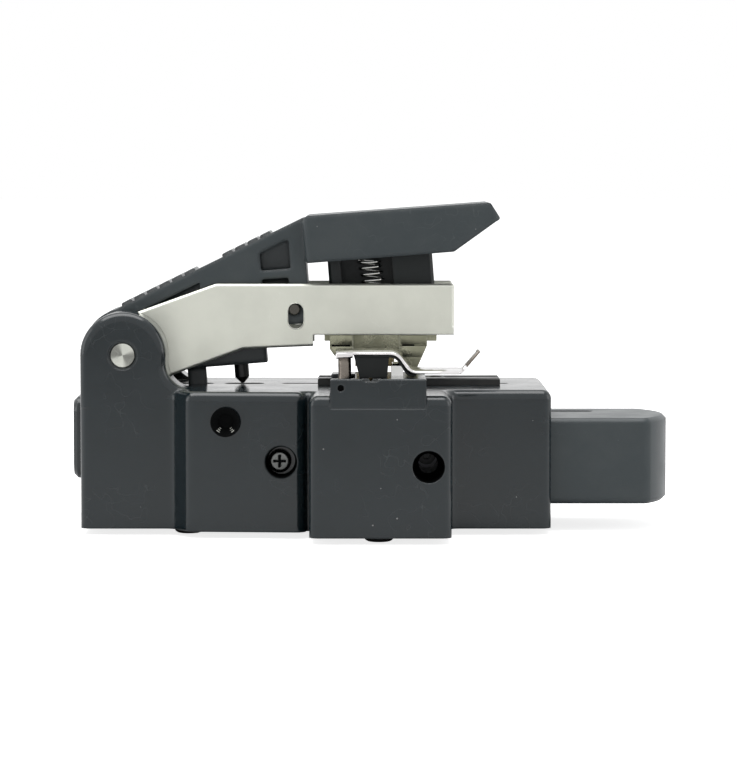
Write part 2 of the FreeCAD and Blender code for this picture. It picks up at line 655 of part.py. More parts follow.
def hinge_pin():
    pin = rod_y(HINGE.x, HINGE.z, HINGE_PIN_RADIUS, PIN_SUNK, HOUSING_DEPTH - PIN_SUNK)
    return bevel_edges(pin, PIN_SUNK, lambda b: b.YMax - b.YMin < 0.01)


def grub_screw():
    start = GRUB_SUNK - BULGE_REACH
    body = rod_y(GRUB_X, GRUB_Z, GRUB_RADIUS, start, WALL - 0.5)
    return body.cut(hex_socket(GRUB_X, GRUB_Z, start, GRUB_RADIUS * 0.57, GRUB_RADIUS))


def side_screw():
    """Pan-headed screw with a cross recess, deep in its counterbore."""
    seat = SIDE_HOLE_DEPTH - BULGE_REACH
    start = seat - SIDE_SCREW_HEAD_HEIGHT
    body = rod_y(SIDE_SCREW_X, SIDE_HOLE_Z, SIDE_SCREW_HEAD, start, seat)
    body = bevel_edges(body, SIDE_SCREW_HEAD_HEIGHT * 0.35, lambda b: b.YMax < start + 0.01)
    body = body.fuse(rod_y(SIDE_SCREW_X, SIDE_HOLE_Z, SIDE_SCREW_RADIUS, seat, WALL + 3.0))
    long, short, deep = SIDE_SCREW_HEAD * 0.55, SCREW_SLOT / 2, SIDE_SCREW_HEAD_HEIGHT / 2
    cross = [block(SIDE_SCREW_X - u, SIDE_SCREW_X + u, start, start + deep, SIDE_HOLE_Z - v, SIDE_HOLE_Z + v)
             for u, v in ((long, short), (short, long))]
    return body.cut(cross)


# ---- inside the housing ----
def guide_rail():
    half = RAIL_WIDTH / 2
    groove = COVER_TOP + RAIL_HEIGHT * 0.55
    y0, y1 = MID_Y - half, MID_Y + half
    corners = [(y0, COVER_TOP, 0), (y1, COVER_TOP, 0), (y1, groove - RAIL_NOTCH, 0), (y1 - RAIL_NOTCH, groove, 0),
               (y1, groove + RAIL_NOTCH, 0), (y1, RAIL_TOP, 0), (y0, RAIL_TOP, 0), (y0, groove + RAIL_NOTCH, 0),
               (y0 + RAIL_NOTCH, groove, 0), (y0, groove - RAIL_NOTCH, 0)]
    rail = plate_yz(corners, RAIL_START, RAIL_END)
    holes = []
    for x in rail_screw_places():
        holes.append(rod_z(x, MID_Y, SCREW_HEAD + SEAT, RAIL_TOP - RAIL_HEIGHT / 2, RAIL_TOP + PASS))
        holes.append(rod_z(x, MID_Y, SCREW_RADIUS, COVER_TOP, RAIL_TOP))
    return rail.cut(holes)


def rail_screw_places():
    return [RAIL_START + RAIL_SCREW_INSET, RAIL_END - RAIL_SCREW_INSET]


def rail_screws():
    screws = []
    seat = RAIL_TOP - RAIL_HEIGHT / 2
    for x in rail_screw_places():
        head = rod_z(x, MID_Y, SCREW_HEAD, seat, seat + SCREW_HEAD_HEIGHT)
        screws.append(head.fuse(rod_z(x, MID_Y, SCREW_RADIUS, COVER_TOP, seat)))
    return Part.makeCompound(screws)


def rail_runner():
    x1 = SLIDER_REAR
    x0 = x1 - RUNNER_LENGTH
    low = COVER_TOP + SLIDING * 2
    half = RUNNER_WIDTH / 2
    body = block(x0, x1, MID_Y - half, MID_Y + half, low, RUNNER_TOP)
    way = RAIL_WIDTH / 2 + RAIL_GAP
    return body.cut(block(x0 - PASS, x1 + PASS, MID_Y - way, MID_Y + way, low - PASS, RAIL_TOP + RAIL_GAP))


def slider_plan():
    """Flanks and bowed nose of the slider, seen from above."""
    y0, y1 = SLIDER_NEAR, SLIDER_NEAR + SLIDER_WIDTH
    bow = HOUSING_LENGTH + SLIDER_SIDE_LENGTH
    edges = [Part.makeLine(V(SLIDER_REAR, y1, 0), V(SLIDER_REAR, y0, 0)),
             Part.makeLine(V(SLIDER_REAR, y0, 0), V(bow, y0, 0)),
             Part.Arc(V(bow, y0, 0), V(SLIDER_TIP, MID_Y, 0), V(bow, y1, 0)).toShape(),
             Part.makeLine(V(bow, y1, 0), V(SLIDER_REAR, y1, 0))]
    return Part.Face(Part.Wire(edges))


def slider_block():
    body = slider_plan().extrude(V(0, 0, SLIDER_HEIGHT)).translated(V(0, 0, SLIDER_LOW))
    body = bevel_edges(body, SLIDER_BEVEL, lambda b: b.XMax > SLIDER_REAR + 0.1)
    top = SLIDER_LOW + SLIDER_HEIGHT
    groove = slot_z(SLIDER_REAR - SLIDER_GROOVE_WIDTH, HOUSING_LENGTH + SLIDER_GROOVE_END,
                    MID_Y + SLIDER_GROOVE_OFFSET, SLIDER_GROOVE_WIDTH, top - SLIDER_GROOVE_DEPTH, top + PASS)
    half = RAIL_WIDTH / 2 + SLIDING
    rail_way = block(SLIDER_REAR - PASS, RAIL_END + SLIDER_TRAVEL + PASS, MID_Y - half, MID_Y + half,
                     SLIDER_LOW - PASS, RAIL_TOP + SLIDING)
    screws = [rod_x(y, RUNNER_TOP + CARRIAGE_SCREW_RISE, SCREW_RADIUS, SLIDER_REAR - PASS,
                    SLIDER_REAR + SCREW_LENGTH - CARRIAGE_UPRIGHT) for y in carriage_screw_places()]
    return body.cut([groove, rail_way] + screws)


def carriage_screw_places():
    return [MID_Y - CARRIAGE_SCREW_SPREAD, MID_Y + CARRIAGE_SCREW_SPREAD]


def blade_carriage():
    """Bent plate on the runner: its upright end is screwed to the slider."""
    x1 = SLIDER_REAR
    x0 = x1 - RUNNER_LENGTH - CARRIAGE_TAIL
    y0, y1 = MID_Y - CARRIAGE_WIDTH / 2, MID_Y + CARRIAGE_WIDTH / 2
    z0, z1 = RUNNER_TOP, RUNNER_TOP + CARRIAGE_THICKNESS
    top = z0 + CARRIAGE_SCREW_RISE + SCREW_HEAD + 0.6
    inner = x1 - CARRIAGE_UPRIGHT
    plate = plate_xz([(x0, z0, 0), (x1, z0, 0), (x1, top, 0), (inner, top, 0), (inner, z1, 1.0), (x0, z1, 0)], y0, y1)
    half = SIDE_HOLE_RADIUS
    lug = block(STAGE_HOLE_X - half, STAGE_HOLE_X + half, y0, y0 + CARRIAGE_LUG, z1, SIDE_HOLE_Z + half)
    tab = block(x0, x0 + DRIVE_TAB, y1 - DRIVE_TAB, HOUSING_DEPTH - DRIVE_INSET + DRIVE_COIL, z0, z1)
    plate = plate.fuse([lug, tab]).removeSplitter()
    holes = [rod_x(y, z0 + CARRIAGE_SCREW_RISE, SCREW_RADIUS, inner - PASS, x1 + PASS)
             for y in carriage_screw_places()]
    holes.append(rod_y(STAGE_HOLE_X, SIDE_HOLE_Z, SCREW_RADIUS, y0 - PASS, y0 + CARRIAGE_LUG + PASS))
    return plate.cut(holes)


def carriage_screws():
    z = RUNNER_TOP + CARRIAGE_SCREW_RISE
    face = SLIDER_REAR - CARRIAGE_UPRIGHT
    return Part.makeCompound([rod_x(y, z, SCREW_HEAD, face - SCREW_HEAD_HEIGHT, face).fuse(
        rod_x(y, z, SCREW_RADIUS, face, face + SCREW_LENGTH - PASS)) for y in carriage_screw_places()])


def height_screw():
    """Cap screw in the carriage's lug, reached through the stage hole."""
    return socket_screw(STAGE_HOLE_X, MID_Y - CARRIAGE_WIDTH / 2 - SCREW_HEAD, SIDE_HOLE_Z, SCREW_HEAD, SCREW_HEAD,
                        SCREW_RADIUS, CARRIAGE_LUG + 0.6)


def blade_holder():
    """Post behind the disc, carrying its spindle."""
    low = RUNNER_TOP + CARRIAGE_THICKNESS
    wide, narrow = BLADE_RADIUS - 1.0, BLADE_RADIUS * 0.45
    top = BLADE_Z + BLADE_SPINDLE + 1.1
    corners = [(BLADE_X - wide, low, 0), (BLADE_X + wide, low, 0), (BLADE_X + wide, low + 2.0, 0),
               (BLADE_X + narrow, top, 2.0), (BLADE_X - narrow, top, 2.0), (BLADE_X - wide, low + 2.0, 0)]
    face = BLADE_FAR + BLADE_POST_GAP
    post = plate_xz(corners, face, face + BLADE_POST)
    hub = rod_y(BLADE_X, BLADE_Z, BLADE_SPINDLE * 2, BLADE_FAR, face)
    return post.fuse(hub).cut(rod_y(BLADE_X, BLADE_Z, BLADE_SPINDLE, BLADE_FAR - PASS, face + BLADE_POST + PASS))


def blade_disc():
    """Thin scoring wheel, ground to an edge from both faces."""
    rim = BLADE_X + BLADE_RADIUS
    section = [V(BLADE_X, BLADE_NEAR, BLADE_Z), V(rim - BLADE_EDGE, BLADE_NEAR, BLADE_Z), V(rim, MID_Y, BLADE_Z),
               V(rim - BLADE_EDGE, BLADE_FAR, BLADE_Z), V(BLADE_X, BLADE_FAR, BLADE_Z)]
    face = Part.Face(Part.makePolygon(section + section[:1]))
    disc = face.revolve(V(BLADE_X, MID_Y, BLADE_Z), V(0, 1, 0), 360)
    return disc.cut(rod_y(BLADE_X, BLADE_Z, BLADE_SPINDLE + RUNNING, BLADE_NEAR - PASS, BLADE_FAR + PASS))


def blade_screw():
    """Cap screw whose shank is the disc's spindle."""
    start = BLADE_NEAR - BLADE_SCREW_HEIGHT - SEAT
    return socket_screw(BLADE_X, start, BLADE_Z, BLADE_SCREW_HEAD, BLADE_SCREW_HEIGHT, BLADE_SPINDLE,
                        BLADE_THICKNESS + BLADE_POST_GAP + BLADE_POST * 0.8)


def latch_guide():
    """Block under the roof that steers the latch plunger; the grub screw locks it."""
    way_half = LATCH_LENGTH / 2 + SLIDING
    x0, x1 = LATCH_X - LATCH_LENGTH, LATCH_X + LATCH_LENGTH - PASS
    y0, y1 = MID_Y - way_half * 2, MID_Y + way_half * 2
    body = block(x0, x1, y0, y1, LATCH_GUIDE_LOW, CAVITY_ROOF)
    way = block(LATCH_X - way_half, LATCH_X + way_half, MID_Y - way_half, MID_Y + way_half,
                LATCH_GUIDE_LOW - PASS, latch_shoulder() + LATCH_SEAT)
    mouth = block(LATCH_X - way_half, LATCH_X + way_half, MID_Y - STRIKER_SLOT_WIDTH / 2,
                  MID_Y + STRIKER_SLOT_WIDTH / 2, latch_shoulder(), CAVITY_ROOF + PASS)
    return body.cut([way, mouth])


def latch_shoulder():
    return CAVITY_ROOF - LATCH_SHOULDER


def latch_plunger():
    """Tongue under the striker pin, with the wider foot that holds the carriage back."""
    half = LATCH_LENGTH / 2
    tongue = block(LATCH_X - half, LATCH_X + half, MID_Y - LATCH_TONGUE / 2, MID_Y + LATCH_TONGUE / 2,
                   latch_shoulder(), TOP - LATCH_SUNK)
    foot = block(LATCH_X - half, LATCH_X + half, MID_Y - half, MID_Y + half, LATCH_GUIDE_LOW - PASS,
                 latch_shoulder())
    seat = rod_z(LATCH_X, MID_Y, LATCH_SEAT_RADIUS, LATCH_GUIDE_LOW - 2 * PASS, LATCH_GUIDE_LOW + LATCH_SEAT_DEPTH)
    return tongue.fuse(foot).cut(seat).removeSplitter()


def latch_spring():
    return coil_spring(LATCH_X, MID_Y, COVER_TOP, LATCH_GUIDE_LOW + LATCH_SEAT_DEPTH, 1.8, 0.2, 6)


def slider_spring():
    """Long spring that drives the slider out, between the rear wall and the carriage."""
    x0, x1 = CAVITY_REAR, SLIDER_REAR - RUNNER_LENGTH - CARRIAGE_TAIL
    spring = coil_spring(0, 0, 0, x1 - x0, DRIVE_COIL, DRIVE_WIRE, 9)
    spring.rotate(V(0, 0, 0), V(0, 1, 0), 90)
    spring.translate(V(x0, HOUSING_DEPTH - DRIVE_INSET, RUNNER_TOP + CARRIAGE_THICKNESS / 2))
    return spring


# ---- lower clamps and adapter ----
def clamp_rail_sides():
    gap = (BLADE_SLOT_WIDTH + PAD_MARGIN) / 2
    return [(MID_Y - gap - CLAMP_RAIL_WIDTH, MID_Y - gap), (MID_Y + gap, MID_Y + gap + CLAMP_RAIL_WIDTH)]


def pad_span(margin=0.0):
    return (FIBRE_X - CLAMP_PAD_LENGTH / 2 - margin, FIBRE_X + CLAMP_PAD_LENGTH / 2 + margin)


def lower_clamp_rails():
    rails = []
    x0, x1 = pad_span(SEAT)
    margin = PAD_MARGIN - SEAT
    for y0, y1 in clamp_rail_sides():
        rail = block(CLAMP_RAIL_START, CLAMP_RAIL_END, y0, y1, TOP, CLAMP_TOP)
        rail = bevel_edges(rail, PAD_MARGIN / 2, lambda b: b.ZMin > CLAMP_TOP - 0.01)
        rails.append(rail.cut(block(x0, x1, y0 + margin, y1 - margin, CLAMP_TOP - PAD_SUNK, CLAMP_TOP + PASS)))
    return Part.makeCompound(rails)


def lower_clamp_pads():
    x0, x1 = pad_span()
    return Part.makeCompound([block(x0, x1, y0 + PAD_MARGIN, y1 - PAD_MARGIN, CLAMP_TOP - PAD_SUNK,
                                    CLAMP_TOP + PAD_PROUD) for y0, y1 in clamp_rail_sides()])


def adapter_block():
    """Fibre holder plate: vee groove along the fibre and the slot for the lid's knuckle."""
    y0, y1 = -STAGE_REACH, ADAPTER_DEPTH - STAGE_REACH
    x0, x1 = ADAPTER_START, ADAPTER_START + ADAPTER_LENGTH
    top = ADAPTER_TOP + 0.01
    body = block(x0, x1, y0, y1, TOP - ADAPTER_SINK, ADAPTER_TOP)
    body = bevel_edges(body, 0.25, lambda b: b.ZMin > ADAPTER_TOP - 0.01)
    vee = [(FIBRE_X - VEE_HALF, top, 0), (FIBRE_X, top - VEE_DEPTH, 0), (FIBRE_X + VEE_HALF, top, 0)]
    floor = VEE_HALF * 2.6
    relief = [(FIBRE_X - RELIEF_HALF, top, 0), (FIBRE_X - floor, top - VEE_DEPTH, 0.3),
              (FIBRE_X + floor, top - VEE_DEPTH, 0.3), (FIBRE_X + RELIEF_HALF, top, 0)]
    swing = LID_KNUCKLE + SLIDING
    pocket = block(x0 - PASS, LID_X + swing * 1.75, LID_NEAR - SLIDING, LID_FAR + SLIDING, LID_Z - swing, top + PASS)
    cuts = [plate_xz(vee, y0 - PASS, y1 + PASS), plate_xz(relief, y0 - PASS, y0 + RELIEF_LENGTH), pocket,
            block(*magnet_plan(), ADAPTER_TOP - MAGNET_SUNK, top + PASS),
            rod_y(LID_X, LID_Z, LID_PIN_RADIUS, y0 - PASS, LID_FAR + LID_PIN_SEAT)]
    return body.cut(cuts)


def magnet_plan():
    return FIBRE_X + MAGNET[0], FIBRE_X + MAGNET[1], LID_NEAR + MAGNET_INSET, LID_FAR - MAGNET_INSET


def lid_magnet():
    """Plated magnet post beside the fibre that holds the lid down."""
    top = ADAPTER_TOP + MAGNET_RISE
    post = block(*magnet_plan(), ADAPTER_TOP - MAGNET_SUNK, top)
    return bevel_edges(post, 0.4, lambda b: b.ZMin > top - 0.01)


def lid_pin():
    return rod_y(LID_X, LID_Z, LID_PIN_RADIUS, LID_PIN_SUNK - STAGE_REACH, LID_FAR + LID_PIN_SEAT)


def adapter_lid():
    """Sprung leaf with its knuckle and the thinner finger tab bent up at the end."""
    high = ADAPTER_TOP + LID_RISE
    low = high - LID_STEP
    sheet = LID_SHEET
    start = LID_X - LID_KNUCKLE / 2
    bend = start + LID_FLAT
    foot = bend + LID_BEND
    tail = foot + LID_TAIL
    leaf = [(start, high, 0), (bend, high, LID_BEND_ROUND), (foot, low, LID_BEND_ROUND + sheet), (tail, low, 0),
            (tail, low + sheet, 0), (foot + sheet * 0.8, low + sheet, LID_BEND_ROUND),
            (bend + sheet * 0.8, high + sheet, LID_BEND_ROUND + sheet), (start, high + sheet, 0)]
    y0, y1 = LID_NEAR + sheet, LID_FAR - sheet
    post = block(LID_X - LID_POST[0], LID_X + LID_POST[1], y0, y1, LID_Z, high)
    cap = block(LID_X - LID_CAP[0], LID_X + LID_CAP[1], LID_NEAR, LID_FAR, high - LID_CAP_DROP, high)
    tip_x, tip_z = tail + TAB_RUN, low + TAB_RUN * TAB_SLOPE
    tab = plate_xz([(tail - PASS, low, 0), (tail, low, LID_BEND_ROUND), (tip_x, tip_z, 0),
                    (tip_x - sheet * 0.7, tip_z + sheet * 0.55, 0), (tail - sheet * 0.5, low + sheet, 0.5),
                    (tail - PASS, low + sheet, 0)], LID_NEAR + TAB_INSET, LID_FAR - TAB_INSET)
    bead = rod_y(tip_x, tip_z, sheet * 0.9, LID_NEAR + TAB_INSET, LID_FAR - TAB_INSET)
    body = plate_xz(leaf, LID_NEAR, LID_FAR).fuse([rod_y(LID_X, LID_Z, LID_KNUCKLE, y0, y1), post, cap, tab, bead])
    return body.removeSplitter().cut(rod_y(LID_X, LID_Z, LID_PIN_RADIUS + RUNNING, LID_NEAR - PASS, LID_FAR + PASS))


def lid_pad():
    """Tapered rubber block that presses the fibre into the groove."""
    high = ADAPTER_TOP + LID_RISE
    low = ADAPTER_TOP + LID_PAD_GAP
    corners = [(FIBRE_X + LID_PAD_BASE[0], low, 0), (FIBRE_X + LID_PAD_BASE[1], low, 0),
               (FIBRE_X + LID_PAD_HEAD[1], high, 0), (FIBRE_X + LID_PAD_HEAD[0], high, 0)]
    return plate_xz(corners, LID_NEAR + PAD_MARGIN, LID_FAR - PAD_MARGIN)


# ---- arm ----
def arm_outline():
    """Side view: round end on the pin, sloping shoulder, level beam, lower edge with its step."""
    shoulder = (HINGE.x + ARM_SHOULDER, ARM_TOP)
    reach = hypot(ARM_SHOULDER, ARM_TOP_RISE)
    rise = atan2(ARM_TOP_RISE, ARM_SHOULDER) - asin(ARM_END_RADIUS / reach)
    rear = HINGE.x - ARM_END_RADIUS
    top_rear = shoulder[1] - (shoulder[0] - rear) * tan(rise)
    belly = (HINGE.x + ARM_BELLY_X, WEB_LOW - ARM_DROP - ARM_BELLY_SAG)
    low_reach = hypot(belly[0] - HINGE.x, belly[1] - HINGE.z)
    fall = atan2(belly[1] - HINGE.z, belly[0] - HINGE.x) + asin((ARM_END_RADIUS + ARM_BELLY_SAG) / low_reach)
    low_rear = belly[1] - (belly[0] - rear) * tan(fall)
    step_x = HINGE.x + ARM_STEP_X
    return [(rear, low_rear, ARM_END_RADIUS), (belly[0], belly[1], 1.0),
            (step_x, WEB_LOW - ARM_DROP, 0), (step_x, WEB_LOW, 0.3), (ARM_END, WEB_LOW, 0),
            (ARM_END, ARM_TOP, 0.5), (shoulder[0], shoulder[1], 2.0), (rear, top_rear, ARM_END_RADIUS)]


def limit_pin_rest():
    """Centre of the limit pin with the lever up."""
    reach = hypot(LIMIT_PIN_X, LIMIT_PIN_Z)
    return polar_about_hinge(reach, degrees(atan2(LIMIT_PIN_Z, LIMIT_PIN_X)) + PRESS_ANGLE)


def arm_channel():
    up = limit_pin_rest()
    slot_x = (up.x + HINGE.x + LIMIT_PIN_X) / 2
    margin = LIMIT_PIN_RADIUS + SLIDING / 2
    slot_low = HINGE.z + LIMIT_PIN_Z - margin
    slot_high = up.z + margin
    plates = []
    for (y0, y1), outer in zip(PLATES, (ARM_NEAR, ARM_FAR)):
        plate = plate_xz(arm_outline(), y0, y1)
        plate = bevel_edges(plate, BEVEL, lambda b: abs(b.YMin - outer) < 0.01
                            and abs(b.YMax - outer) < 0.01 and b.ZMin > ARM_TOP - 0.01)
        slot = slot_y(slot_x, slot_low, slot_high, SLOT_RADIUS, y0 - PASS, y1 + PASS)
        bore = rod_y(HINGE.x, HINGE.z, HINGE_PIN_RADIUS + RUNNING, y0 - PASS, y1 + PASS)
        plates.append(plate.cut([slot, bore]))
    web = block(WEB_START, ARM_END, ARM_NEAR, ARM_FAR, WEB_LOW, WEB_TOP)
    web = web.cut([anvil_way(WEB_LOW - PASS, WEB_TOP + PASS)] + clamp_screw_holes())
    return plates[0].fuse([plates[1], web]).removeSplitter()


def anvil_way(z0, z1):
    """Slot that the anvil blade drops through."""
    half_x = ANVIL_LENGTH / 2 + ANVIL_SIDE_GAP * 1.8
    half_y = ANVIL_THICKNESS / 2 + ANVIL_SIDE_GAP
    return block(ANVIL_X - half_x, ANVIL_X + half_x, MID_Y - half_y, MID_Y + half_y, z0, z1)


def clamp_screw_places():
    return [FIBRE_X + offset for offset in ARM_SCREWS]


def clamp_screw_holes():
    holes = []
    for x in clamp_screw_places():
        holes.append(rod_z(x, MID_Y, SCREW_RADIUS, BRACKET_LOW, WEB_TOP))
        holes.append(rod_z(x, MID_Y, SCREW_HEAD + SEAT, WEB_TOP - SCREW_HEAD_HEIGHT, WEB_TOP + PASS))
    return holes


def clamp_screws():
    seat = WEB_TOP - SCREW_HEAD_HEIGHT
    screws = []
    for x in clamp_screw_places():
        screw = rod_z(x, MID_Y, SCREW_HEAD, seat, WEB_TOP).fuse(rod_z(x, MID_Y, SCREW_RADIUS, BRACKET_LOW + 0.5, seat))
        screws.append(screw.cut(block(x - SCREW_HEAD, x + SCREW_HEAD, MID_Y - SCREW_SLOT / 2, MID_Y + SCREW_SLOT / 2,
                                      WEB_TOP - SCREW_SLOT, WEB_TOP + PASS)))
    return Part.makeCompound(screws)


# ---- upper clamp ----
def clamp_flange():
    half = FLANGE_WIDTH / 2
    plate = block(FIBRE_X + FLANGE[0], FIBRE_X + FLANGE[1], MID_Y - half, MID_Y + half, FLANGE_LOW, WEB_LOW)
    return plate.cut([anvil_way(FLANGE_LOW - PASS, WEB_LOW + PASS)] + clamp_screw_holes())


def clamp_bracket():
    """Cast bracket: short left leg, tapered right leg that stops the arm, recessed middle."""
    left, right = FIBRE_X + BRACKET[0], FIBRE_X + BRACKET[1]
    recess_left, recess_right = FIBRE_X + BRACKET_RECESS[0], FIBRE_X + BRACKET_RECESS[1]
    leg_left, leg_right = FIBRE_X + LEG[0], FIBRE_X + LEG[1]
    heel = BRACKET_LOW - BRACKET_HEEL
    waist = CLAMP_TOP + LEG_WAIST
    outline = [(left, WEB_LOW, 0), (left, BRACKET_LOW + BRACKET_HEEL, 0), (left + 1.0, heel, 0),
               (recess_left, heel, 0), (recess_left, BRACKET_LOW, 0), (recess_right, BRACKET_LOW, 0),
               (leg_left, waist, 0), (leg_left, STOP_LOW, 0), (leg_right, STOP_LOW, 0), (leg_right, waist, 0),
               (right, BRACKET_LOW + BRACKET_HEEL * 2, 0), (right, WEB_LOW, 0)]
    y0, y1 = ARM_NEAR + BRACKET_SIDE_GAP, ARM_FAR - BRACKET_SIDE_GAP
    deep = BRACKET_RECESS_DEPTH
    half = FLANGE_WIDTH / 2 + SEAT
    cuts = [block(left - PASS, right + PASS, MID_Y - half, MID_Y + half, FLANGE_LOW, WEB_LOW + PASS),
            anvil_way(BRACKET_LOW - PASS, FLANGE_LOW + PASS)] + clamp_screw_holes()
    cuts += [block(recess_left, recess_right, y - deep, y + deep, BRACKET_LOW - PASS, WEB_LOW + PASS) for y in (y0, y1)]
    line = BRACKET_LOW + BRACKET_DROP * BRACKET_LINE
    for x0, x1 in ((left - PASS, recess_left), (recess_right, right + PASS)):
        cuts += [block(x0, x1, y - 0.2, y + 0.2, line, line + BRACKET_LINE) for y in (y0, y1)]
    # way for the disc through the stop leg, and the bores of the guide posts
    cuts.append(block(leg_left - PASS, leg_right + PASS, MID_Y - DISC_WAY / 2, MID_Y + DISC_WAY / 2,
                      STOP_LOW - PASS, STOP_LOW + DISC_WAY / 2))
    cuts += [rod_z(x, y, POST_RADIUS + RUNNING, BRACKET_LOW - PASS, FLANGE_LOW) for x, y in GUIDE_POSTS]
    return plate_xz(outline, y0, y1).cut(cuts)


def upper_clamp():
    """Floating head: two pad carriers either side of the anvil, on guide posts."""
    x0, x1 = FIBRE_X + CLAMP_SPAN[0], FIBRE_X + CLAMP_SPAN[1]
    shoulder = PAD_LOW + PAD_THICKNESS * 2.2
    body = block(x0, x1, MID_Y - CLAMP_HALF, MID_Y + CLAMP_HALF, shoulder, CLAMP_TOP_FACE)
    carriers = [block(*upper_pad_span(), max(y0, MID_Y - CLAMP_HALF) + PAD_MARGIN,
                      min(y1, MID_Y + CLAMP_HALF) - PAD_MARGIN, PAD_LOW + PAD_THICKNESS, shoulder)
                for y0, y1 in clamp_rail_sides()]
    posts = [rod_z(x, y, POST_RADIUS, CLAMP_TOP_FACE, FLANGE_LOW - FLOAT_TRAVEL - 0.1) for x, y in GUIDE_POSTS]
    head = body.fuse(carriers).cut(anvil_way(PAD_LOW - PASS, CLAMP_TOP_FACE + PASS))
    return head.fuse(posts).removeSplitter()


def upper_pad_span():
    return FIBRE_X + CLAMP_SPAN[0] + 2 * PAD_MARGIN, FIBRE_X + CLAMP_SPAN[1] - 4 * PAD_MARGIN


def upper_clamp_pads():
    return Part.makeCompound([block(*upper_pad_span(), y0 + PAD_MARGIN, y1 - PAD_MARGIN, PAD_LOW,
                                    PAD_LOW + PAD_THICKNESS) for y0, y1 in clamp_rail_sides()])


def clamp_springs():
    return Part.makeCompound([coil_spring(x, y, CLAMP_TOP_FACE, BRACKET_LOW, POST_RADIUS + 0.35, 0.12, 2)
                              for x, y in GUIDE_POSTS])


# ---- press lever ----
def slope_line(offset, x):
    """Height at x of the line that runs at the lever's slope, offset from the pin centre."""
    angle = radians(LEVER_SLOPE)
    return HINGE.z + offset / cos(angle) + (x - HINGE.x) * tan(angle)


def lever_web():
    """Sloping middle part with the hinge barrel."""
    top = BARREL_RADIUS - 0.2
    under = top - LEVER_WALL
    start = HINGE.x - top * sin(radians(LEVER_SLOPE))
    throat = HINGE.x + LEVER_THROAT
    belly = HINGE.x + STRIKER_END_X
    rear = PALM_X
    floor = HINGE.z + LEVER_FLOOR
    side = [(start, slope_line(top, start), 0), (HINGE.x, HINGE.z, 0), (HINGE.x + 5.0, slope_line(under, HINGE.x + 5.0), 0),
            (throat, slope_line(under, throat), 0), (throat, STRIKER_TOP, 0), (belly, STRIKER_TOP, 0),
            (belly + 1.5, floor, 0), (rear, floor, 0), (rear, PALM_Z + 1.0, 0), (rear + PALM_ROUND * 1.2, PALM_Z + 1.0, 0),
            (rear + PALM_ROUND * 1.2, PALM_TOP - 0.8, 0), (rear, slope_line(top, rear), 0)]
    barrel = rod_y(HINGE.x, HINGE.z, BARREL_RADIUS, WEB_NEAR, WEB_FAR)
    return plate_xz(side, WEB_NEAR, WEB_FAR).fuse(barrel)


def palm_plate():
    """Thumb plate: its side view and its plan meet in rounded corners."""
    end = PALM_X + PALM_LENGTH
    side = [(PALM_X, PALM_Z, 0.6), (end - NOSE_LENGTH, PALM_Z, 1.0), (end - 1.1, PALM_Z + NOSE_RISE, 0.6),
            (end, PALM_Z + NOSE_RISE + 0.5, 0.5), (end - 1.9, PALM_TOP - 0.2, 0.8), (PALM_X, PALM_TOP, PALM_ROUND)]
    half = PALM_WIDTH / 2
    plan = rectangle(PALM_X, end, MID_Y - half, MID_Y + half, PALM_ROUND)
    return plate_xz(side, MID_Y - half, MID_Y + half).common(plate_xy(plan, PALM_Z, PALM_TOP))


def lever_windows():
    """Hollows in both flanks of the web, with the rib left between them."""
    left, right = HINGE.x + WINDOW[0], HINGE.x + WINDOW[1]
    rib, roof = HINGE.z + WINDOW_RIB, BARREL_RADIUS - LEVER_WALL - 0.2
    upper = [(left, rib, 0.4), (right, rib, 0.4), (right, slope_line(roof, right), 0.4), (left, slope_line(roof, left), 0.4)]
    lower = rectangle(left, right - 0.6, HINGE.z + WINDOW_SILL, rib - LEVER_RIB, 0.4)
    return [plate_xz(outline, y0, y1) for outline in (upper, lower)
            for y0, y1 in ((WEB_NEAR - PASS, WEB_NEAR + WINDOW_DEPTH), (WEB_FAR - WINDOW_DEPTH, WEB_FAR + PASS))]


def nose_cells():
    """Three hollows under the palm's nose."""
    x0 = PLUNGER_START + PLUNGER_LENGTH + 1.2
    x1 = PALM_X + PALM_LENGTH - NOSE_LENGTH
    high = PALM_Z + NOSE_RISE + 0.8
    pitch = (PALM_WIDTH - PALM_ROUND) / NOSE_CELLS
    rib = PALM_ROUND
    outline = [(x0, PALM_Z - PASS, 0), (x1, PALM_Z - PASS, 0), (x1 + NOSE_LENGTH / 2, high, 0), (x0, high, 0)]
    first = MID_Y - PALM_WIDTH / 2 + rib
    return [plate_xz(outline, first + i * pitch, first + (i + 1) * pitch - rib) for i in range(NOSE_CELLS)]


def press_lever():
    """Moulded lever: barrel, sloping ribbed back, hollowed web and the palm plate."""
    bores = [rod_y(HINGE.x, HINGE.z, HINGE_PIN_RADIUS + RUNNING, 0, HOUSING_DEPTH),
             rod_y(HINGE.x + LIMIT_PIN_X, HINGE.z + LIMIT_PIN_Z, LIMIT_PIN_RADIUS, 0, HOUSING_DEPTH)]
    bores += [rod_z(x, MID_Y, SCREW_RADIUS, STRIKER_TOP - PASS, STRIKER_TOP + 5.0) for x in striker_screw_places()]
    bores += [rod_z(SPRING_X - SPRING_COIL, y, SPRING_COIL + 4 * SPRING_WIRE, PALM_Z - PASS, PALM_Z + 1.6)
              for y in SPRING_PLACES]
    body = palm_plate().fuse(lever_web()).cut(lever_windows() + nose_cells() + bores)
    return lifted(body.fuse(grip_ribs()).removeSplitter())


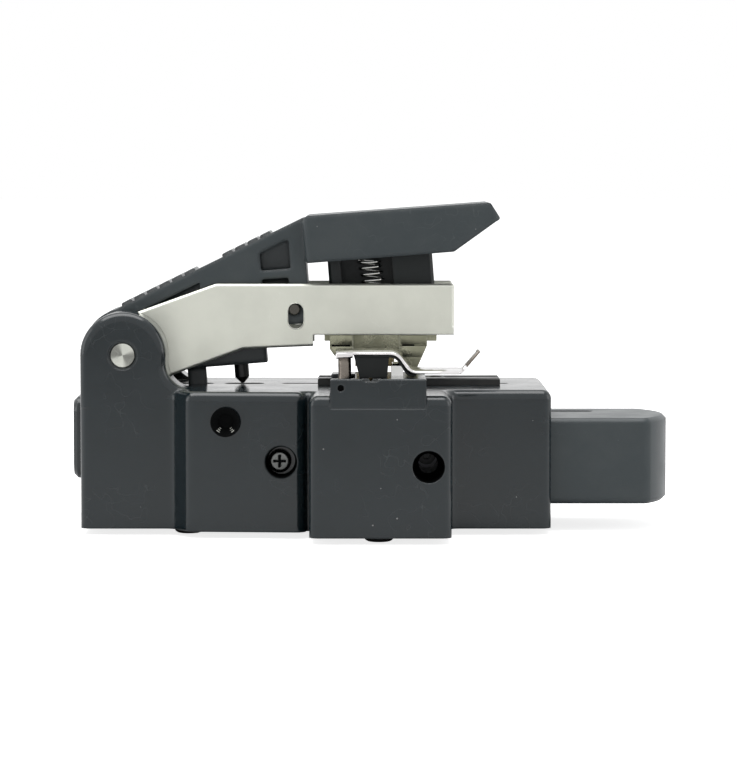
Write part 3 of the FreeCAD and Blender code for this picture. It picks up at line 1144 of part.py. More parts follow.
def grip_ribs():
    """Raised bars across the sloping back, with a bare place left between the two groups."""
    top = BARREL_RADIUS - 0.2
    ribs = []
    for i in [*range(RIB_GAP[0]), *range(*RIB_GAP[1:])]:
        along = RIB_START + i * RIB_PITCH
        rib = block(along, along + RIB_PITCH * 0.82, WEB_NEAR + PASS, WEB_FAR - PASS, top - RIB_HEIGHT, top + RIB_HEIGHT)
        rib = bevel_edges(rib, 0.25, lambda b: b.ZMin > top + RIB_HEIGHT - 0.01 and b.YMax - b.YMin > 1)
        rib.rotate(V(0, 0, 0), V(0, -1, 0), LEVER_SLOPE)
        ribs.append(rib.translated(V(HINGE.x, 0, HINGE.z)))
    return ribs


def striker_screw_places():
    return [HINGE.x + offset for offset in STRIKER_SCREWS]


def striker():
    """Bar under the lever with the leg that enters the rear slot."""
    left, right = HINGE.x + STRIKER_LEG_X, HINGE.x + STRIKER_END_X
    half = STRIKER_WIDTH / 2
    bar = block(left, right, MID_Y - half, MID_Y + half, STRIKER_LOW, STRIKER_TOP)
    tip = TOP - LEG_REACH
    leg = plate_xz([(left, tip, 0.5), (left + STRIKER_LEG_LENGTH, tip, 0.5), (left + STRIKER_LEG_LENGTH, STRIKER_LOW + 1, 0),
                    (left, STRIKER_LOW + 1, 0)], MID_Y - STRIKER_THICKNESS / 2, MID_Y + STRIKER_THICKNESS / 2)
    holes = []
    for x in striker_screw_places():
        holes.append(rod_z(x, MID_Y, SCREW_RADIUS, STRIKER_LOW, STRIKER_TOP))
        holes.append(rod_z(x, MID_Y, SCREW_HEAD + SEAT, STRIKER_LOW - PASS, STRIKER_LOW + HEAD_SINK))
    holes.append(rod_z(HINGE.x + STRIKER_PIN_X, MID_Y, STRIKER_PIN_RADIUS * 0.7, STRIKER_LOW - PASS,
                       STRIKER_LOW + PIN_SHANK + 0.5))
    return lifted(bar.fuse(leg).cut(holes).removeSplitter())


def striker_screws():
    seat = STRIKER_LOW + HEAD_SINK
    return lifted(Part.makeCompound([rod_z(x, MID_Y, SCREW_HEAD, seat - SCREW_HEAD_HEIGHT, seat).fuse(
        rod_z(x, MID_Y, SCREW_RADIUS, seat, STRIKER_TOP + 4.0)) for x in striker_screw_places()]))


def striker_pin():
    """Turned pin with a tapered tip that pushes the latch."""
    x, shoulder = HINGE.x + STRIKER_PIN_X, TOP - 0.4
    body = rod_z(x, MID_Y, STRIKER_PIN_RADIUS, shoulder, STRIKER_LOW)
    tip = cone_z(x, MID_Y, 0.35, STRIKER_PIN_RADIUS, shoulder - PIN_TIP, shoulder)
    shank = rod_z(x, MID_Y, STRIKER_PIN_RADIUS * 0.7, STRIKER_LOW, STRIKER_LOW + PIN_SHANK)
    return lifted(body.fuse([tip, shank]).removeSplitter())


def limit_pin():
    pin = rod_y(HINGE.x + LIMIT_PIN_X, HINGE.z + LIMIT_PIN_Z, LIMIT_PIN_RADIUS, ARM_NEAR + PIN_INSET,
                ARM_FAR - PIN_INSET)
    return lifted(bevel_edges(pin, 0.15, lambda b: b.YMax - b.YMin < 0.01))


def plunger_housing():
    """Block under the palm that drives the anvil, open at both sides for the return springs."""
    y0, y1 = MID_Y - PLUNGER_HALF, MID_Y + PLUNGER_HALF
    body = block(PLUNGER_START, PLUNGER_START + PLUNGER_LENGTH, y0, y1, PLUNGER_LOW, PALM_Z)
    body = bevel_edges(body, 0.6, lambda b: b.ZMax - b.ZMin > 5 and b.XMax - b.XMin < 0.01)
    reach = SPRING_INSET + SPRING_COIL + SPRING_WIRE * 1.6
    window = (SPRING_X + PLUNGER_WINDOW[0], SPRING_X + PLUNGER_WINDOW[1])
    cuts = [block(*window, a, b, PLUNGER_LOW - PASS, PALM_Z + PASS)
            for a, b in ((y0 - PASS, y0 + reach), (y1 - reach, y1 + PASS))]
    half = ANVIL_LENGTH / 2
    cuts.append(block(ANVIL_X - half, ANVIL_X + half, MID_Y - ANVIL_THICKNESS / 2, MID_Y + ANVIL_THICKNESS / 2,
                      PLUNGER_LOW - PASS, PLUNGER_LOW + ANVIL_SEAT))
    return lifted(body.cut(cuts))


def anvil():
    """Thin blade that bends the scored fibre down between the clamps."""
    x0, x1 = ANVIL_X - ANVIL_LENGTH / 2, ANVIL_X + ANVIL_LENGTH / 2
    low = CLAMP_TOP + ANVIL_TIP_LENGTH - ANVIL_BITE
    high = PLUNGER_LOW + ANVIL_SEAT
    taper = ANVIL_SHOULDER
    outline = [(x0 + taper, low, 0), (x1 - taper, low, 0), (x1, low + taper, 0), (x1, high, 0), (x0, high, 0),
               (x0, low + taper, 0)]
    return lifted(plate_xz(outline, MID_Y - ANVIL_THICKNESS / 2, MID_Y + ANVIL_THICKNESS / 2))


def anvil_tip():
    """Rubber tip bonded to the anvil."""
    half = ANVIL_LENGTH / 2 - ANVIL_SHOULDER
    low = CLAMP_TOP - ANVIL_BITE
    return lifted(block(ANVIL_X - half, ANVIL_X + half, MID_Y - ANVIL_THICKNESS / 2, MID_Y + ANVIL_THICKNESS / 2, low,
                        low + ANVIL_TIP_LENGTH))


def return_springs():
    return Part.makeCompound([coil_spring(SPRING_X, y, WEB_TOP, WEB_TOP + SPRING_HEIGHT, SPRING_COIL, SPRING_WIRE, 7,
                                          SPRING_LEAN) for y in SPRING_PLACES])


NODES = [base_housing, bottom_cover, cover_screws, rubber_feet, rear_cover, rear_cover_screws, hinge_pin,
         grub_screw, side_screw, guide_rail, rail_screws, rail_runner, slider_block, blade_carriage,
         carriage_screws, height_screw, blade_holder, blade_disc, blade_screw, latch_guide,
         latch_plunger, latch_spring, slider_spring, lower_clamp_rails, lower_clamp_pads, adapter_block,
         lid_magnet, lid_pin, adapter_lid, lid_pad, arm_channel, clamp_screws, clamp_flange,
         clamp_bracket, upper_clamp, upper_clamp_pads, clamp_springs, press_lever, striker,
         striker_screws, striker_pin, limit_pin, plunger_housing, anvil, anvil_tip, return_springs]


def save(name, shape):
    placed = shape.translated(V(0, 0, 0) - ORIGIN)
    placed.exportStep("parts/" + name + ".step")


def main():
    os.makedirs("parts", exist_ok=True)
    for make in NODES:
        save(make.__name__, make())


main()
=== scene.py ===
"""Bench fibre cleaver: finishes, wound springs, rubber feet and small turned details over its CAD frame."""
import json
from math import pi, radians

import bmesh
import bpy
import numpy as np
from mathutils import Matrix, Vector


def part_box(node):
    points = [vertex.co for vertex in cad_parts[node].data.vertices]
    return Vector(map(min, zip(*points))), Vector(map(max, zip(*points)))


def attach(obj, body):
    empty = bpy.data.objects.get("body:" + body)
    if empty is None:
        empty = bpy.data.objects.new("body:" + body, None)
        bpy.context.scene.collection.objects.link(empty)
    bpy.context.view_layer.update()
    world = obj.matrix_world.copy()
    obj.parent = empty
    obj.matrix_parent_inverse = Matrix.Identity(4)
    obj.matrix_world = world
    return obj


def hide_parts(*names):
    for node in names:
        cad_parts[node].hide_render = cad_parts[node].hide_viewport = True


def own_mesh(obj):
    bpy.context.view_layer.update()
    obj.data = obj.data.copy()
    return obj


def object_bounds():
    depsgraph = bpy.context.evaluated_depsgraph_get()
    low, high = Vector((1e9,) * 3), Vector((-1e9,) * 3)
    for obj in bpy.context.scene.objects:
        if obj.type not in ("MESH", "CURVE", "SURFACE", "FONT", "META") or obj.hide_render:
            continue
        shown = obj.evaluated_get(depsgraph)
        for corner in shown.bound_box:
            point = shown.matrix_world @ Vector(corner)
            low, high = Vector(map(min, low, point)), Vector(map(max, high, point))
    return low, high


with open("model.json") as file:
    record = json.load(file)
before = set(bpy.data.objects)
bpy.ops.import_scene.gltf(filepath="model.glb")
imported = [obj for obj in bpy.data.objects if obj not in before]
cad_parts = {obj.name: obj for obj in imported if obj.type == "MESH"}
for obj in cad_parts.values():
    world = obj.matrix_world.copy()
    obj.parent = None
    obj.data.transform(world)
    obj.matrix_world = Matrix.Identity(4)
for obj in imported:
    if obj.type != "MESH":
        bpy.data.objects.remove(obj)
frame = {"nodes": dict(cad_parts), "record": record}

bl_info = {
    "name": "Fibre Cleaver",
    "version": (1, 0, 0),
    "blender": (4, 5, 0),
    "location": "View3D > Sidebar > Cleaver",
    "description": "Dresses the frame of a bench fibre cleaver: finishes, springs, feet, lid and stage",
    "category": "Object",
}

MM = 0.001
SAME_PLACE = 1e-7            # points nearer than this are one
SKEW = (0.3, 1.0, 0.2)       # a direction that no axis here runs along
END_STEPS = 2                # steps over which a spring's wire closes at each end
LONGEST_EASE = 0.45          # most of a straight that one rounded corner takes up


def clear_defaults():
    for name in ("Cube", "Light", "Camera"):
        thing = bpy.data.objects.get(name)
        if thing is not None and name not in frame["nodes"]:
            bpy.data.objects.remove(thing, do_unlink=True)


clear_defaults()
CAD_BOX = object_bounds()


# ---- surfaces ----
def grid_faces(rows, columns):
    """Four-sided faces between neighbours of a grid of points whose columns close round."""
    u, v = np.meshgrid(np.arange(rows - 1), np.arange(columns), indexing="ij")
    next_v = (v + 1) % columns
    corners = [u * columns + v, (u + 1) * columns + v, (u + 1) * columns + next_v, u * columns + next_v]
    return np.stack(corners, axis=-1).reshape(-1, 4)


def build_piece(name, patches, material, body):
    """One object of several grids, each a pair of points and faces.

    Doubled points are merged, faces without area go, and all faces turn outwards.
    """
    points, faces, start = [], [], 0
    for grid, cells in patches:
        flat = grid.reshape(-1, 3)
        points.append(flat)
        faces.append(cells + start)
        start += len(flat)
    mesh = bpy.data.meshes.new(name)
    mesh.from_pydata(np.concatenate(points).tolist(), [], np.concatenate(faces).tolist())
    work = bmesh.new()
    work.from_mesh(mesh)
    bmesh.ops.remove_doubles(work, verts=work.verts, dist=SAME_PLACE)
    bmesh.ops.dissolve_degenerate(work, dist=SAME_PLACE / 10, edges=work.edges)
    bmesh.ops.recalc_face_normals(work, faces=work.faces)
    for face in work.faces:
        face.smooth = True
    work.to_mesh(mesh)
    work.free()
    mesh.materials.append(bpy.data.materials[material])
    piece = bpy.data.objects.new(name, mesh)
    bpy.context.scene.collection.objects.link(piece)
    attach(piece, body)
    return piece


def unit(vectors):
    return vectors / np.maximum(np.linalg.norm(vectors, axis=-1, keepdims=True), 1e-12)


def square_to(axis):
    """Unit axis and two unit directions square to it and to each other."""
    axis = unit(np.array(axis, float))
    first = unit(np.cross(axis, SKEW))
    return axis, first, np.cross(axis, first)


def round_section(path, side, radii, around):
    """Circle carried along a path, its radius given at each path point.

    Point = path + radius * (cos t * side + sin t * across).
    """
    along = unit(np.gradient(path, axis=0))
    side = unit(side - along * np.sum(side * along, axis=-1, keepdims=True))
    across = np.cross(along, side)
    turn = np.linspace(0, 2 * pi, around, endpoint=False)[None, :, None]
    ring = np.cos(turn) * side[:, None] + np.sin(turn) * across[:, None]
    return path[:, None] + radii[:, None, None] * ring, grid_faces(len(path), around)


def coil(foot, axis, height, radius, wire, turns, around=8, steps=22, shear=(0, 0, 0)):
    """Compression spring: helix of the coil radius whose rise eases at both ends into a closed turn.

    Point = foot + rise * axis + radius * (cos 2 pi s * first + sin 2 pi s * second) at turn s. The first
    and last turns climb one wire each and the rest share the height that is left. The wire thins to nothing
    over the last steps, which closes the ends. The shear leans the coil sideways.
    """
    axis, first, second = square_to(axis)
    count = int(turns * steps) + 1
    s = np.linspace(0, turns, count)
    dead = 2 * wire
    free = (height - 2 * wire - 2 * dead) / (turns - 2)
    last = dead + (turns - 2) * free + (s - turns + 1) * dead
    rise = wire + np.where(s < 1, s * dead, np.where(s > turns - 1, last, dead + (s - 1) * free))
    angle = 2 * pi * s
    radial = np.cos(angle)[:, None] * first + np.sin(angle)[:, None] * second
    path = np.array(foot) + rise[:, None] * (axis + np.array(shear)) + radius * radial
    taper = np.minimum(np.arange(count), np.arange(count)[::-1]) / END_STEPS
    radii = wire * np.sqrt(np.clip(1 - (1 - np.clip(taper, 0, 1)) ** 2, 0, 1))
    return round_section(path, radial, radii, around)


def lathe(profile, centre, axis, around):
    """Profile of (radius, height) pairs turned round an axis.

    Point = centre + height * axis + radius * spoke, with spoke = cos t * first + sin t * second.
    """
    axis, first, second = square_to(axis)
    turn = np.linspace(0, 2 * pi, around, endpoint=False)
    spokes = np.cos(turn)[:, None] * first + np.sin(turn)[:, None] * second
    radius, height = np.array(profile, float).T
    points = np.array(centre) + height[:, None, None] * axis + radius[:, None, None] * spokes[None]
    return points, grid_faces(len(profile), around)


def curved_path(corners, radius, steps):
    """Path through corners, each eased by a curve of second order within a radius of it.

    Point = (1 - t)^2 * before + 2 t (1 - t) * corner + t^2 * after.
    """
    corners = np.array(corners, float)
    legs = np.diff(corners, axis=0)
    lengths = np.linalg.norm(legs, axis=1)
    ways = legs / lengths[:, None]
    t = np.linspace(0, 1, steps)[:, None]
    runs = [corners[:1]]
    for i in range(1, len(corners) - 1):
        reach = min(radius, lengths[i - 1] * LONGEST_EASE, lengths[i] * LONGEST_EASE)
        before, after = corners[i] - ways[i - 1] * reach, corners[i] + ways[i] * reach
        runs.append((1 - t) ** 2 * before + 2 * t * (1 - t) * corners[i] + t ** 2 * after)
    runs.append(corners[-1:])
    return np.concatenate(runs)


def swept_strip(path, widths, thickness, middle, arc=7):
    """Strip with round edges carried along a path in the upright plane, of one width or one for each point.

    Point = path + width * across + lift * out: the section is two half circles of the strip's thickness,
    joined by flats. Both ends are drawn in to the middle of their section.
    """
    along = unit(np.gradient(path, axis=0))
    across = np.array([0.0, 1.0, 0.0])
    out = np.cross(along, across)
    half = thickness / 2
    turn = np.linspace(-pi / 2, pi / 2, arc)
    side = np.concatenate([np.cos(turn) * half, -np.cos(turn) * half])
    lift = np.concatenate([np.sin(turn), -np.sin(turn)]) * half
    sign = np.concatenate([np.ones(arc), -np.ones(arc)])
    width = (np.broadcast_to(widths, len(path)) / 2 - half)[:, None] * sign + side
    points = path[:, None] + width[..., None] * across + lift[None, :, None] * out[:, None]
    points[..., 1] += middle
    first, last = points[:1].copy(), points[-1:].copy()
    first[:] = points[0].mean(axis=0)
    last[:] = points[-1].mean(axis=0)
    points = np.concatenate([first, points, last])
    return points, grid_faces(len(points), points.shape[1])


def rounded_slab(outline, y0, y1, edge, arc=5):
    """Outline in the upright plane made solid between two depths, its edges rounded.

    Ring k lies at depth y0 + edge * (1 - cos a) and is drawn in towards the middle by edge * (1 - sin a); the
    other side mirrors it, and a point at each middle closes the flats.
    """
    outline = np.array(outline, float)
    centre = outline.mean(axis=0)
    spoke = outline - centre
    far = np.linalg.norm(spoke, axis=1, keepdims=True)
    a = np.linspace(0, pi / 2, arc)
    inset = edge * (1 - np.sin(a))
    depth = edge * (1 - np.cos(a))
    insets = np.concatenate([[0], inset, inset[::-1], [0]])
    scales = 1 - insets[:, None, None] / far
    scales[0] = scales[-1] = 0
    depths = np.concatenate([[y0], y0 + depth, y1 - depth[::-1], [y1]])
    flat = centre + scales * spoke
    points = np.stack([flat[..., 0], np.broadcast_to(depths[:, None], flat.shape[:2]), flat[..., 1]], axis=-1)
    return points, grid_faces(len(points), len(outline))


# ---- shader node groups ----
def link_values(tree, node, values):
    """Sets each named or numbered input of a node to a value, or links it to a socket."""
    for key, value in values.items():
        if isinstance(value, bpy.types.NodeSocket):
            tree.links.new(value, node.inputs[key])
        else:
            node.inputs[key].default_value = value


def add_node(tree, kind, values=None, **settings):
    """New shader node; its kind goes without the start that all kinds share."""
    node = tree.nodes.new("ShaderNode" + kind)
    for key, value in settings.items():
        setattr(node, key, value)
    link_values(tree, node, values or {})
    return node


def empty_tree(owner):
    owner.use_nodes = True
    owner.node_tree.nodes.clear()
    return owner.node_tree


def sum_of(tree, operation, *terms):
    return add_node(tree, "Math", dict(enumerate(terms)), operation=operation).outputs[0]


def ramp(tree, value, low, high, to_low=0.0, to_high=1.0):
    """Eased step between two values."""
    node = add_node(tree, "MapRange", {"Value": value, "From Min": low, "From Max": high,
                                       "To Min": to_low, "To Max": to_high},
                    interpolation_type="SMOOTHSTEP")
    return node.outputs["Result"]


def open_group(name, inputs, outputs):
    """New shader group with its named sockets; gives the tree, its input node and its output node."""
    group = bpy.data.node_groups.new(name, "ShaderNodeTree")
    for label, kind, default in inputs:
        socket = group.interface.new_socket(name=label, in_out="INPUT", socket_type=kind)
        if default is not None:
            socket.default_value = default
    for label, kind in outputs:
        group.interface.new_socket(name=label, in_out="OUTPUT", socket_type=kind)
    return group, group.nodes.new("NodeGroupInput"), group.nodes.new("NodeGroupOutput")


VALUE, VECTOR = "NodeSocketFloat", "NodeSocketVector"


def soft_edge_group():
    """Rounds sharp edges in shading and marks them by how far the rounded normal leaves the flat one."""
    tree, given, out = open_group("Soft Edge", [("Radius", VALUE, 0.0003)],
                                  [("Normal", VECTOR), ("Edge", VALUE)])
    bevel = add_node(tree, "Bevel", {"Radius": given.outputs["Radius"]}, samples=6)
    flat = add_node(tree, "NewGeometry")
    match = add_node(tree, "VectorMath", {0: bevel.outputs[0], 1: flat.outputs["Normal"]},
                     operation="DOT_PRODUCT")
    mark = ramp(tree, match.outputs["Value"], 0.99, 0.8)
    link_values(tree, out, {"Normal": bevel.outputs[0], "Edge": mark})


def noise_in(tree, vector, scale, detail, roughness=0.5):
    node = add_node(tree, "TexNoise", {"Vector": vector, "Scale": scale, "Detail": detail,
                                       "Roughness": roughness})
    return node.outputs["Fac"]


def grain_group():
    """Two sizes of noise added: a fine height for bump and a slow tone for colour and roughness."""
    inputs = [("Vector", VECTOR, None), ("Fine", VALUE, 9000.0), ("Coarse", VALUE, 120.0)]
    tree, given, out = open_group("Fine Grain", inputs, [("Height", VALUE), ("Tone", VALUE)])
    vector = given.outputs["Vector"]
    fine = noise_in(tree, vector, given.outputs["Fine"], 3.0, 0.6)
    slow = noise_in(tree, vector, given.outputs["Coarse"], 4.0, 0.55)
    link_values(tree, out, {"Height": fine, "Tone": ramp(tree, slow, 0.3, 0.7)})


def specks_group():
    """Lint: small cells, of which only a share carries a dot at its middle."""
    inputs = [("Vector", VECTOR, None), ("Scale", VALUE, 700.0), ("Share", VALUE, 0.1), ("Size", VALUE, 0.12)]
    tree, given, out = open_group("Dust Specks", inputs, [("Mask", VALUE)])
    cells = add_node(tree, "TexVoronoi", {key: given.outputs[key] for key in ("Vector", "Scale")})
    parts = add_node(tree, "SeparateColor", {"Color": cells.outputs["Color"]})
    chosen = sum_of(tree, "LESS_THAN", parts.outputs[0], given.outputs["Share"])
    smallest = 0.35
    size = sum_of(tree, "MULTIPLY", given.outputs["Size"], sum_of(tree, "ADD", parts.outputs[1], smallest))
    dot = sum_of(tree, "LESS_THAN", cells.outputs["Distance"], size)
    link_values(tree, out, {"Mask": sum_of(tree, "MULTIPLY", chosen, dot)})


def scratch_group():
    """Hairlines: thin bands where a stretched noise crosses its middle, kept only in patches."""
    inputs = [("Vector", VECTOR, None), ("Scale", VALUE, 150.0), ("Width", VALUE, 0.006)]
    tree, given, out = open_group("Hairlines", inputs, [("Mask", VALUE)])
    vector = given.outputs["Vector"]
    turned = add_node(tree, "Mapping", {"Vector": vector, "Rotation": (0.4, 0.7, 0.5),
                                        "Scale": (1.0, 0.12, 1.0)})
    bands = noise_in(tree, turned.outputs[0], given.outputs["Scale"], 1.0)
    away = sum_of(tree, "ABSOLUTE", sum_of(tree, "SUBTRACT", bands, 0.5))
    line = sum_of(tree, "LESS_THAN", away, given.outputs["Width"])
    patch = noise_in(tree, vector, 90.0, 0.0)
    kept = ramp(tree, patch, 0.52, 0.6)
    link_values(tree, out, {"Mask": sum_of(tree, "MULTIPLY", line, kept)})


def rings_group():
    """Lathe marks round a centre: a sine of the distance from the centre, and a mask of two soft wedges by
    angle with which the turned face's sheen is painted into its colour.
    """
    tree, given, out = open_group("Turned Rings", [("Vector", VECTOR, None), ("Pitch", VALUE, 0.00018)],
                                  [("Height", VALUE), ("Fan", VALUE)])
    parts = add_node(tree, "SeparateXYZ", {"Vector": given.outputs["Vector"]})
    flat = add_node(tree, "CombineXYZ", {"X": parts.outputs["X"], "Z": parts.outputs["Z"]})
    far = add_node(tree, "VectorMath", {0: flat.outputs[0]}, operation="LENGTH")
    phase = sum_of(tree, "DIVIDE", far.outputs["Value"], given.outputs["Pitch"])
    wave = sum_of(tree, "SINE", sum_of(tree, "MULTIPLY", phase, 2 * pi))
    angle = sum_of(tree, "ARCTAN2", parts.outputs["Z"], parts.outputs["X"])
    painted_fan = sum_of(tree, "ABSOLUTE", sum_of(tree, "COSINE", sum_of(tree, "ADD", angle, 0.5)))
    link_values(tree, out, {"Height": wave, "Fan": ramp(tree, painted_fan, 0.45, 0.95)})


def lines_group():
    """Ground or drawn metal: noise stretched a hundredfold along one direction."""
    inputs = [("Vector", VECTOR, None), ("Stretch", VECTOR, (0.01, 1.0, 1.0)), ("Scale", VALUE, 6000.0)]
    tree, given, out = open_group("Drawn Lines", inputs, [("Height", VALUE)])
    long = add_node(tree, "VectorMath", {0: given.outputs["Vector"], 1: given.outputs["Stretch"]},
                    operation="MULTIPLY")
    link_values(tree, out, {"Height": noise_in(tree, long.outputs[0], given.outputs["Scale"], 2.0)})


def use_group(tree, name, values):
    node = tree.nodes.new("ShaderNodeGroup")
    node.node_tree = bpy.data.node_groups[name]
    link_values(tree, node, values)
    return node


def blend_colour(tree, factor, first, second):
    return add_node(tree, "Mix", {0: factor, 6: first, 7: second}, data_type="RGBA").outputs[2]


# ---- finishes ----
# color and tone are mottled together, rough varies by spread, edge is the rounding in mm, wear and worn are
# the colour and strength of lighter edges, partly rubbed and partly a painted highlight on the rounding (that
# colour also draws the hairlines), fine is the grain's scale and bump its strength, dust and hair are shares,
# gloss is the specular level and lines the stretch of drawn metal
FINISHES = {
    "body": dict(color=(0.004, 0.0105, 0.0135), tone=(0.007, 0.014, 0.0175), rough=0.14, spread=0.05,
        gloss=0.57, edge=0.5, wear_and_edge_light=(0.15, 0.165, 0.17), worn=0.25, bump=0.05, fine=5200, dust=0.05,
        hair=0.25),
    "bottom_plate": dict(color=(0.011, 0.017, 0.02), tone=(0.016, 0.022, 0.025), rough=0.38, spread=0.1,
        edge=0.2, wear_and_edge_light=(0.14, 0.14, 0.15), worn=0.2, bump=0.06, fine=4200, dust=0.04, hair=0.5),
    "rubber": dict(color=(0.009, 0.0095, 0.01), tone=(0.016, 0.0165, 0.017), rough=0.6, spread=0.12,
        edge=0.15, wear_and_edge_light=(0.04, 0.04, 0.042), worn=0.4, bump=0.12, fine=3200, dust=0.06),
    "pad_rubber": dict(color=(0.006, 0.0075, 0.0075), tone=(0.010, 0.012, 0.012), rough=0.5, spread=0.1,
        gloss=0.25, edge=0.15, wear_and_edge_light=(0.03, 0.03, 0.03), worn=0.2, bump=0.1, fine=3600, dust=0.04),
    "black_screw": dict(color=(0.03, 0.031, 0.032), tone=(0.05, 0.05, 0.049), metal=0.85, rough=0.34,
        spread=0.12, edge=0.1, wear_and_edge_light=(0.26, 0.26, 0.26), worn=0.35, bump=0.05, fine=6000, dust=0.02),
    "bright_steel": dict(color=(0.66, 0.67, 0.61), tone=(0.56, 0.57, 0.52), metal=1.0, rough=0.2,
        spread=0.08, edge=0.12, wear_and_edge_light=(0.9, 0.9, 0.88), worn=0.6, bump=0.03, fine=7000, dust=0.01,
        hair=0.4),
    "rail_steel": dict(color=(0.40, 0.41, 0.40), tone=(0.33, 0.335, 0.33), metal=1.0, rough=0.24,
        spread=0.08, edge=0.12, wear_and_edge_light=(0.8, 0.8, 0.8), worn=0.6, bump=0.05, fine=6000, dust=0.01, hair=0.3,
        lines=(0.01, 1.0, 1.0)),
    "spring_steel": dict(color=(0.74, 0.74, 0.72), tone=(0.6, 0.6, 0.58), metal=1.0, rough=0.18,
        spread=0.07, edge=0.05, wear_and_edge_light=(0.8, 0.8, 0.8), worn=0.1, bump=0.02, fine=8000),
    "charcoal": dict(color=(0.031, 0.043, 0.048), tone=(0.041, 0.052, 0.056), rough=0.34, spread=0.08,
        edge=1.5, wear_and_edge_light=(0.13, 0.14, 0.145), worn=0.15, bump=0.10, fine=3800, dust=0.06, hair=0.3),
    "black_plastic": dict(color=(0.006, 0.009, 0.0095), tone=(0.010, 0.014, 0.0145), rough=0.4,
        spread=0.1, gloss=0.3, edge=0.2, wear_and_edge_light=(0.06, 0.062, 0.062), worn=0.3, bump=0.08, fine=4200,
        dust=0.05, hair=0.2),
    "carriage": dict(color=(0.22, 0.225, 0.24), tone=(0.17, 0.175, 0.185), metal=1.0, rough=0.34,
        spread=0.1, edge=0.15, wear_and_edge_light=(0.6, 0.6, 0.6), worn=0.5, bump=0.06, fine=5000, dust=0.01, hair=0.2),
    "blade": dict(color=(0.44, 0.44, 0.45), tone=(0.36, 0.36, 0.37), metal=1.0, rough=0.15, spread=0.05,
        edge=0.05, wear_and_edge_light=(0.9, 0.9, 0.9), worn=0.8, bump=0.02, fine=8000, hair=0.1),
    "magnet": dict(color=(0.8, 0.8, 0.78), tone=(0.7, 0.7, 0.69), metal=1.0, rough=0.08, spread=0.04,
        edge=0.1, wear_and_edge_light=(0.9, 0.9, 0.9), worn=0.4, bump=0.01, fine=8000, dust=0.01, hair=0.1),
    "chrome_lid": dict(color=(0.84, 0.82, 0.82), tone=(0.72, 0.70, 0.70), metal=1.0, rough=0.12,
        spread=0.05, edge=0.12, wear_and_edge_light=(0.95, 0.95, 0.95), worn=0.4, bump=0.015, fine=7000, dust=0.015,
        hair=0.3),
    "arm": dict(color=(0.69, 0.70, 0.625), tone=(0.65, 0.66, 0.59), metal=1.0, rough=0.42, spread=0.06,
        edge=0.45, wear_and_edge_light=(0.98, 0.99, 0.97), worn=1.0, bump=0.05, fine=4200, dust=0.01, hair=0.15),
    "clamp_metal": dict(color=(0.34, 0.34, 0.25), tone=(0.22, 0.22, 0.155), metal=1.0, rough=0.3,
        spread=0.14, edge=0.15, wear_and_edge_light=(0.75, 0.75, 0.68), worn=0.7, bump=0.2, fine=1700, dust=0.01,
        hair=0.1),
    "brass_clamp": dict(color=(0.58, 0.48, 0.27), tone=(0.46, 0.37, 0.19), metal=1.0, rough=0.3,
        spread=0.1, edge=0.12, wear_and_edge_light=(0.85, 0.76, 0.55), worn=0.6, bump=0.05, fine=5000, dust=0.01,
        hair=0.2, lines=(1.0, 0.01, 1.0)),
    "brown_steel": dict(color=(0.26, 0.23, 0.2), tone=(0.17, 0.15, 0.13), metal=1.0, rough=0.26,
        spread=0.1, edge=0.12, wear_and_edge_light=(0.7, 0.68, 0.66), worn=0.5, bump=0.05, fine=5000, dust=0.01,
        hair=0.2),
    # near-black with almost no gloss: painted shade in the bores, the side screw's recess and under the
    # bracket's pads; the lid pin and grub screw take it as well
    "blackened": dict(color=(0.0015, 0.0018, 0.002), tone=(0.003, 0.0034, 0.0036), rough=0.7, spread=0.1,
        gloss=0.06, edge=0.05, wear_and_edge_light=(0.02, 0.02, 0.02), worn=0.1, bump=0.05, fine=5000),
    "grey_screw": dict(color=(0.2, 0.205, 0.2), tone=(0.1, 0.104, 0.1), metal=1.0, rough=0.28,
        spread=0.14, edge=0.35, wear_and_edge_light=(0.6, 0.6, 0.58), worn=0.7, bump=0.3, fine=1500),
    "bronze_pin": dict(color=(0.10, 0.095, 0.085), tone=(0.075, 0.07, 0.062), metal=1.0, rough=0.3,
        spread=0.1, edge=0.1, wear_and_edge_light=(0.4, 0.4, 0.38), worn=0.4, bump=0.05, fine=5000, dust=0.01, hair=0.2),
}
# nodes whose finish differs from that of their slot
OWN_FINISH = {"plunger_housing": "black_plastic", "striker_pin": "black_screw", "side_screw": "grey_screw",
              "lid_pin": "blackened", "grub_screw": "blackened", "lower_clamp_rails": "black_screw",
              "limit_pin": "bronze_pin"}
DUST_TONE = (0.42, 0.42, 0.41, 1)
DUST_SCALE, DUST_SIZE, DUST_STRENGTH = 620.0, 0.085, 0.55
HAIR_SCALE, HAIR_WIDTH, HAIR_STRENGTH = 260.0, 0.004, 0.5
MOTTLE_SCALE, LINES_SCALE = 130.0, 5000.0
# turned faces: pitch of the rings in bump, and strength and tone of the painted bow-tie reflection
RING_PITCH, PAINTED_FAN_STRENGTH, PAINTED_FAN_SHADE = 0.00022, 0.75, 0.22   # turned faces
GRAIN_DEPTH = 0.00004                                       # height of grain, in metres


def opaque(color):
    return (*color, 1.0)


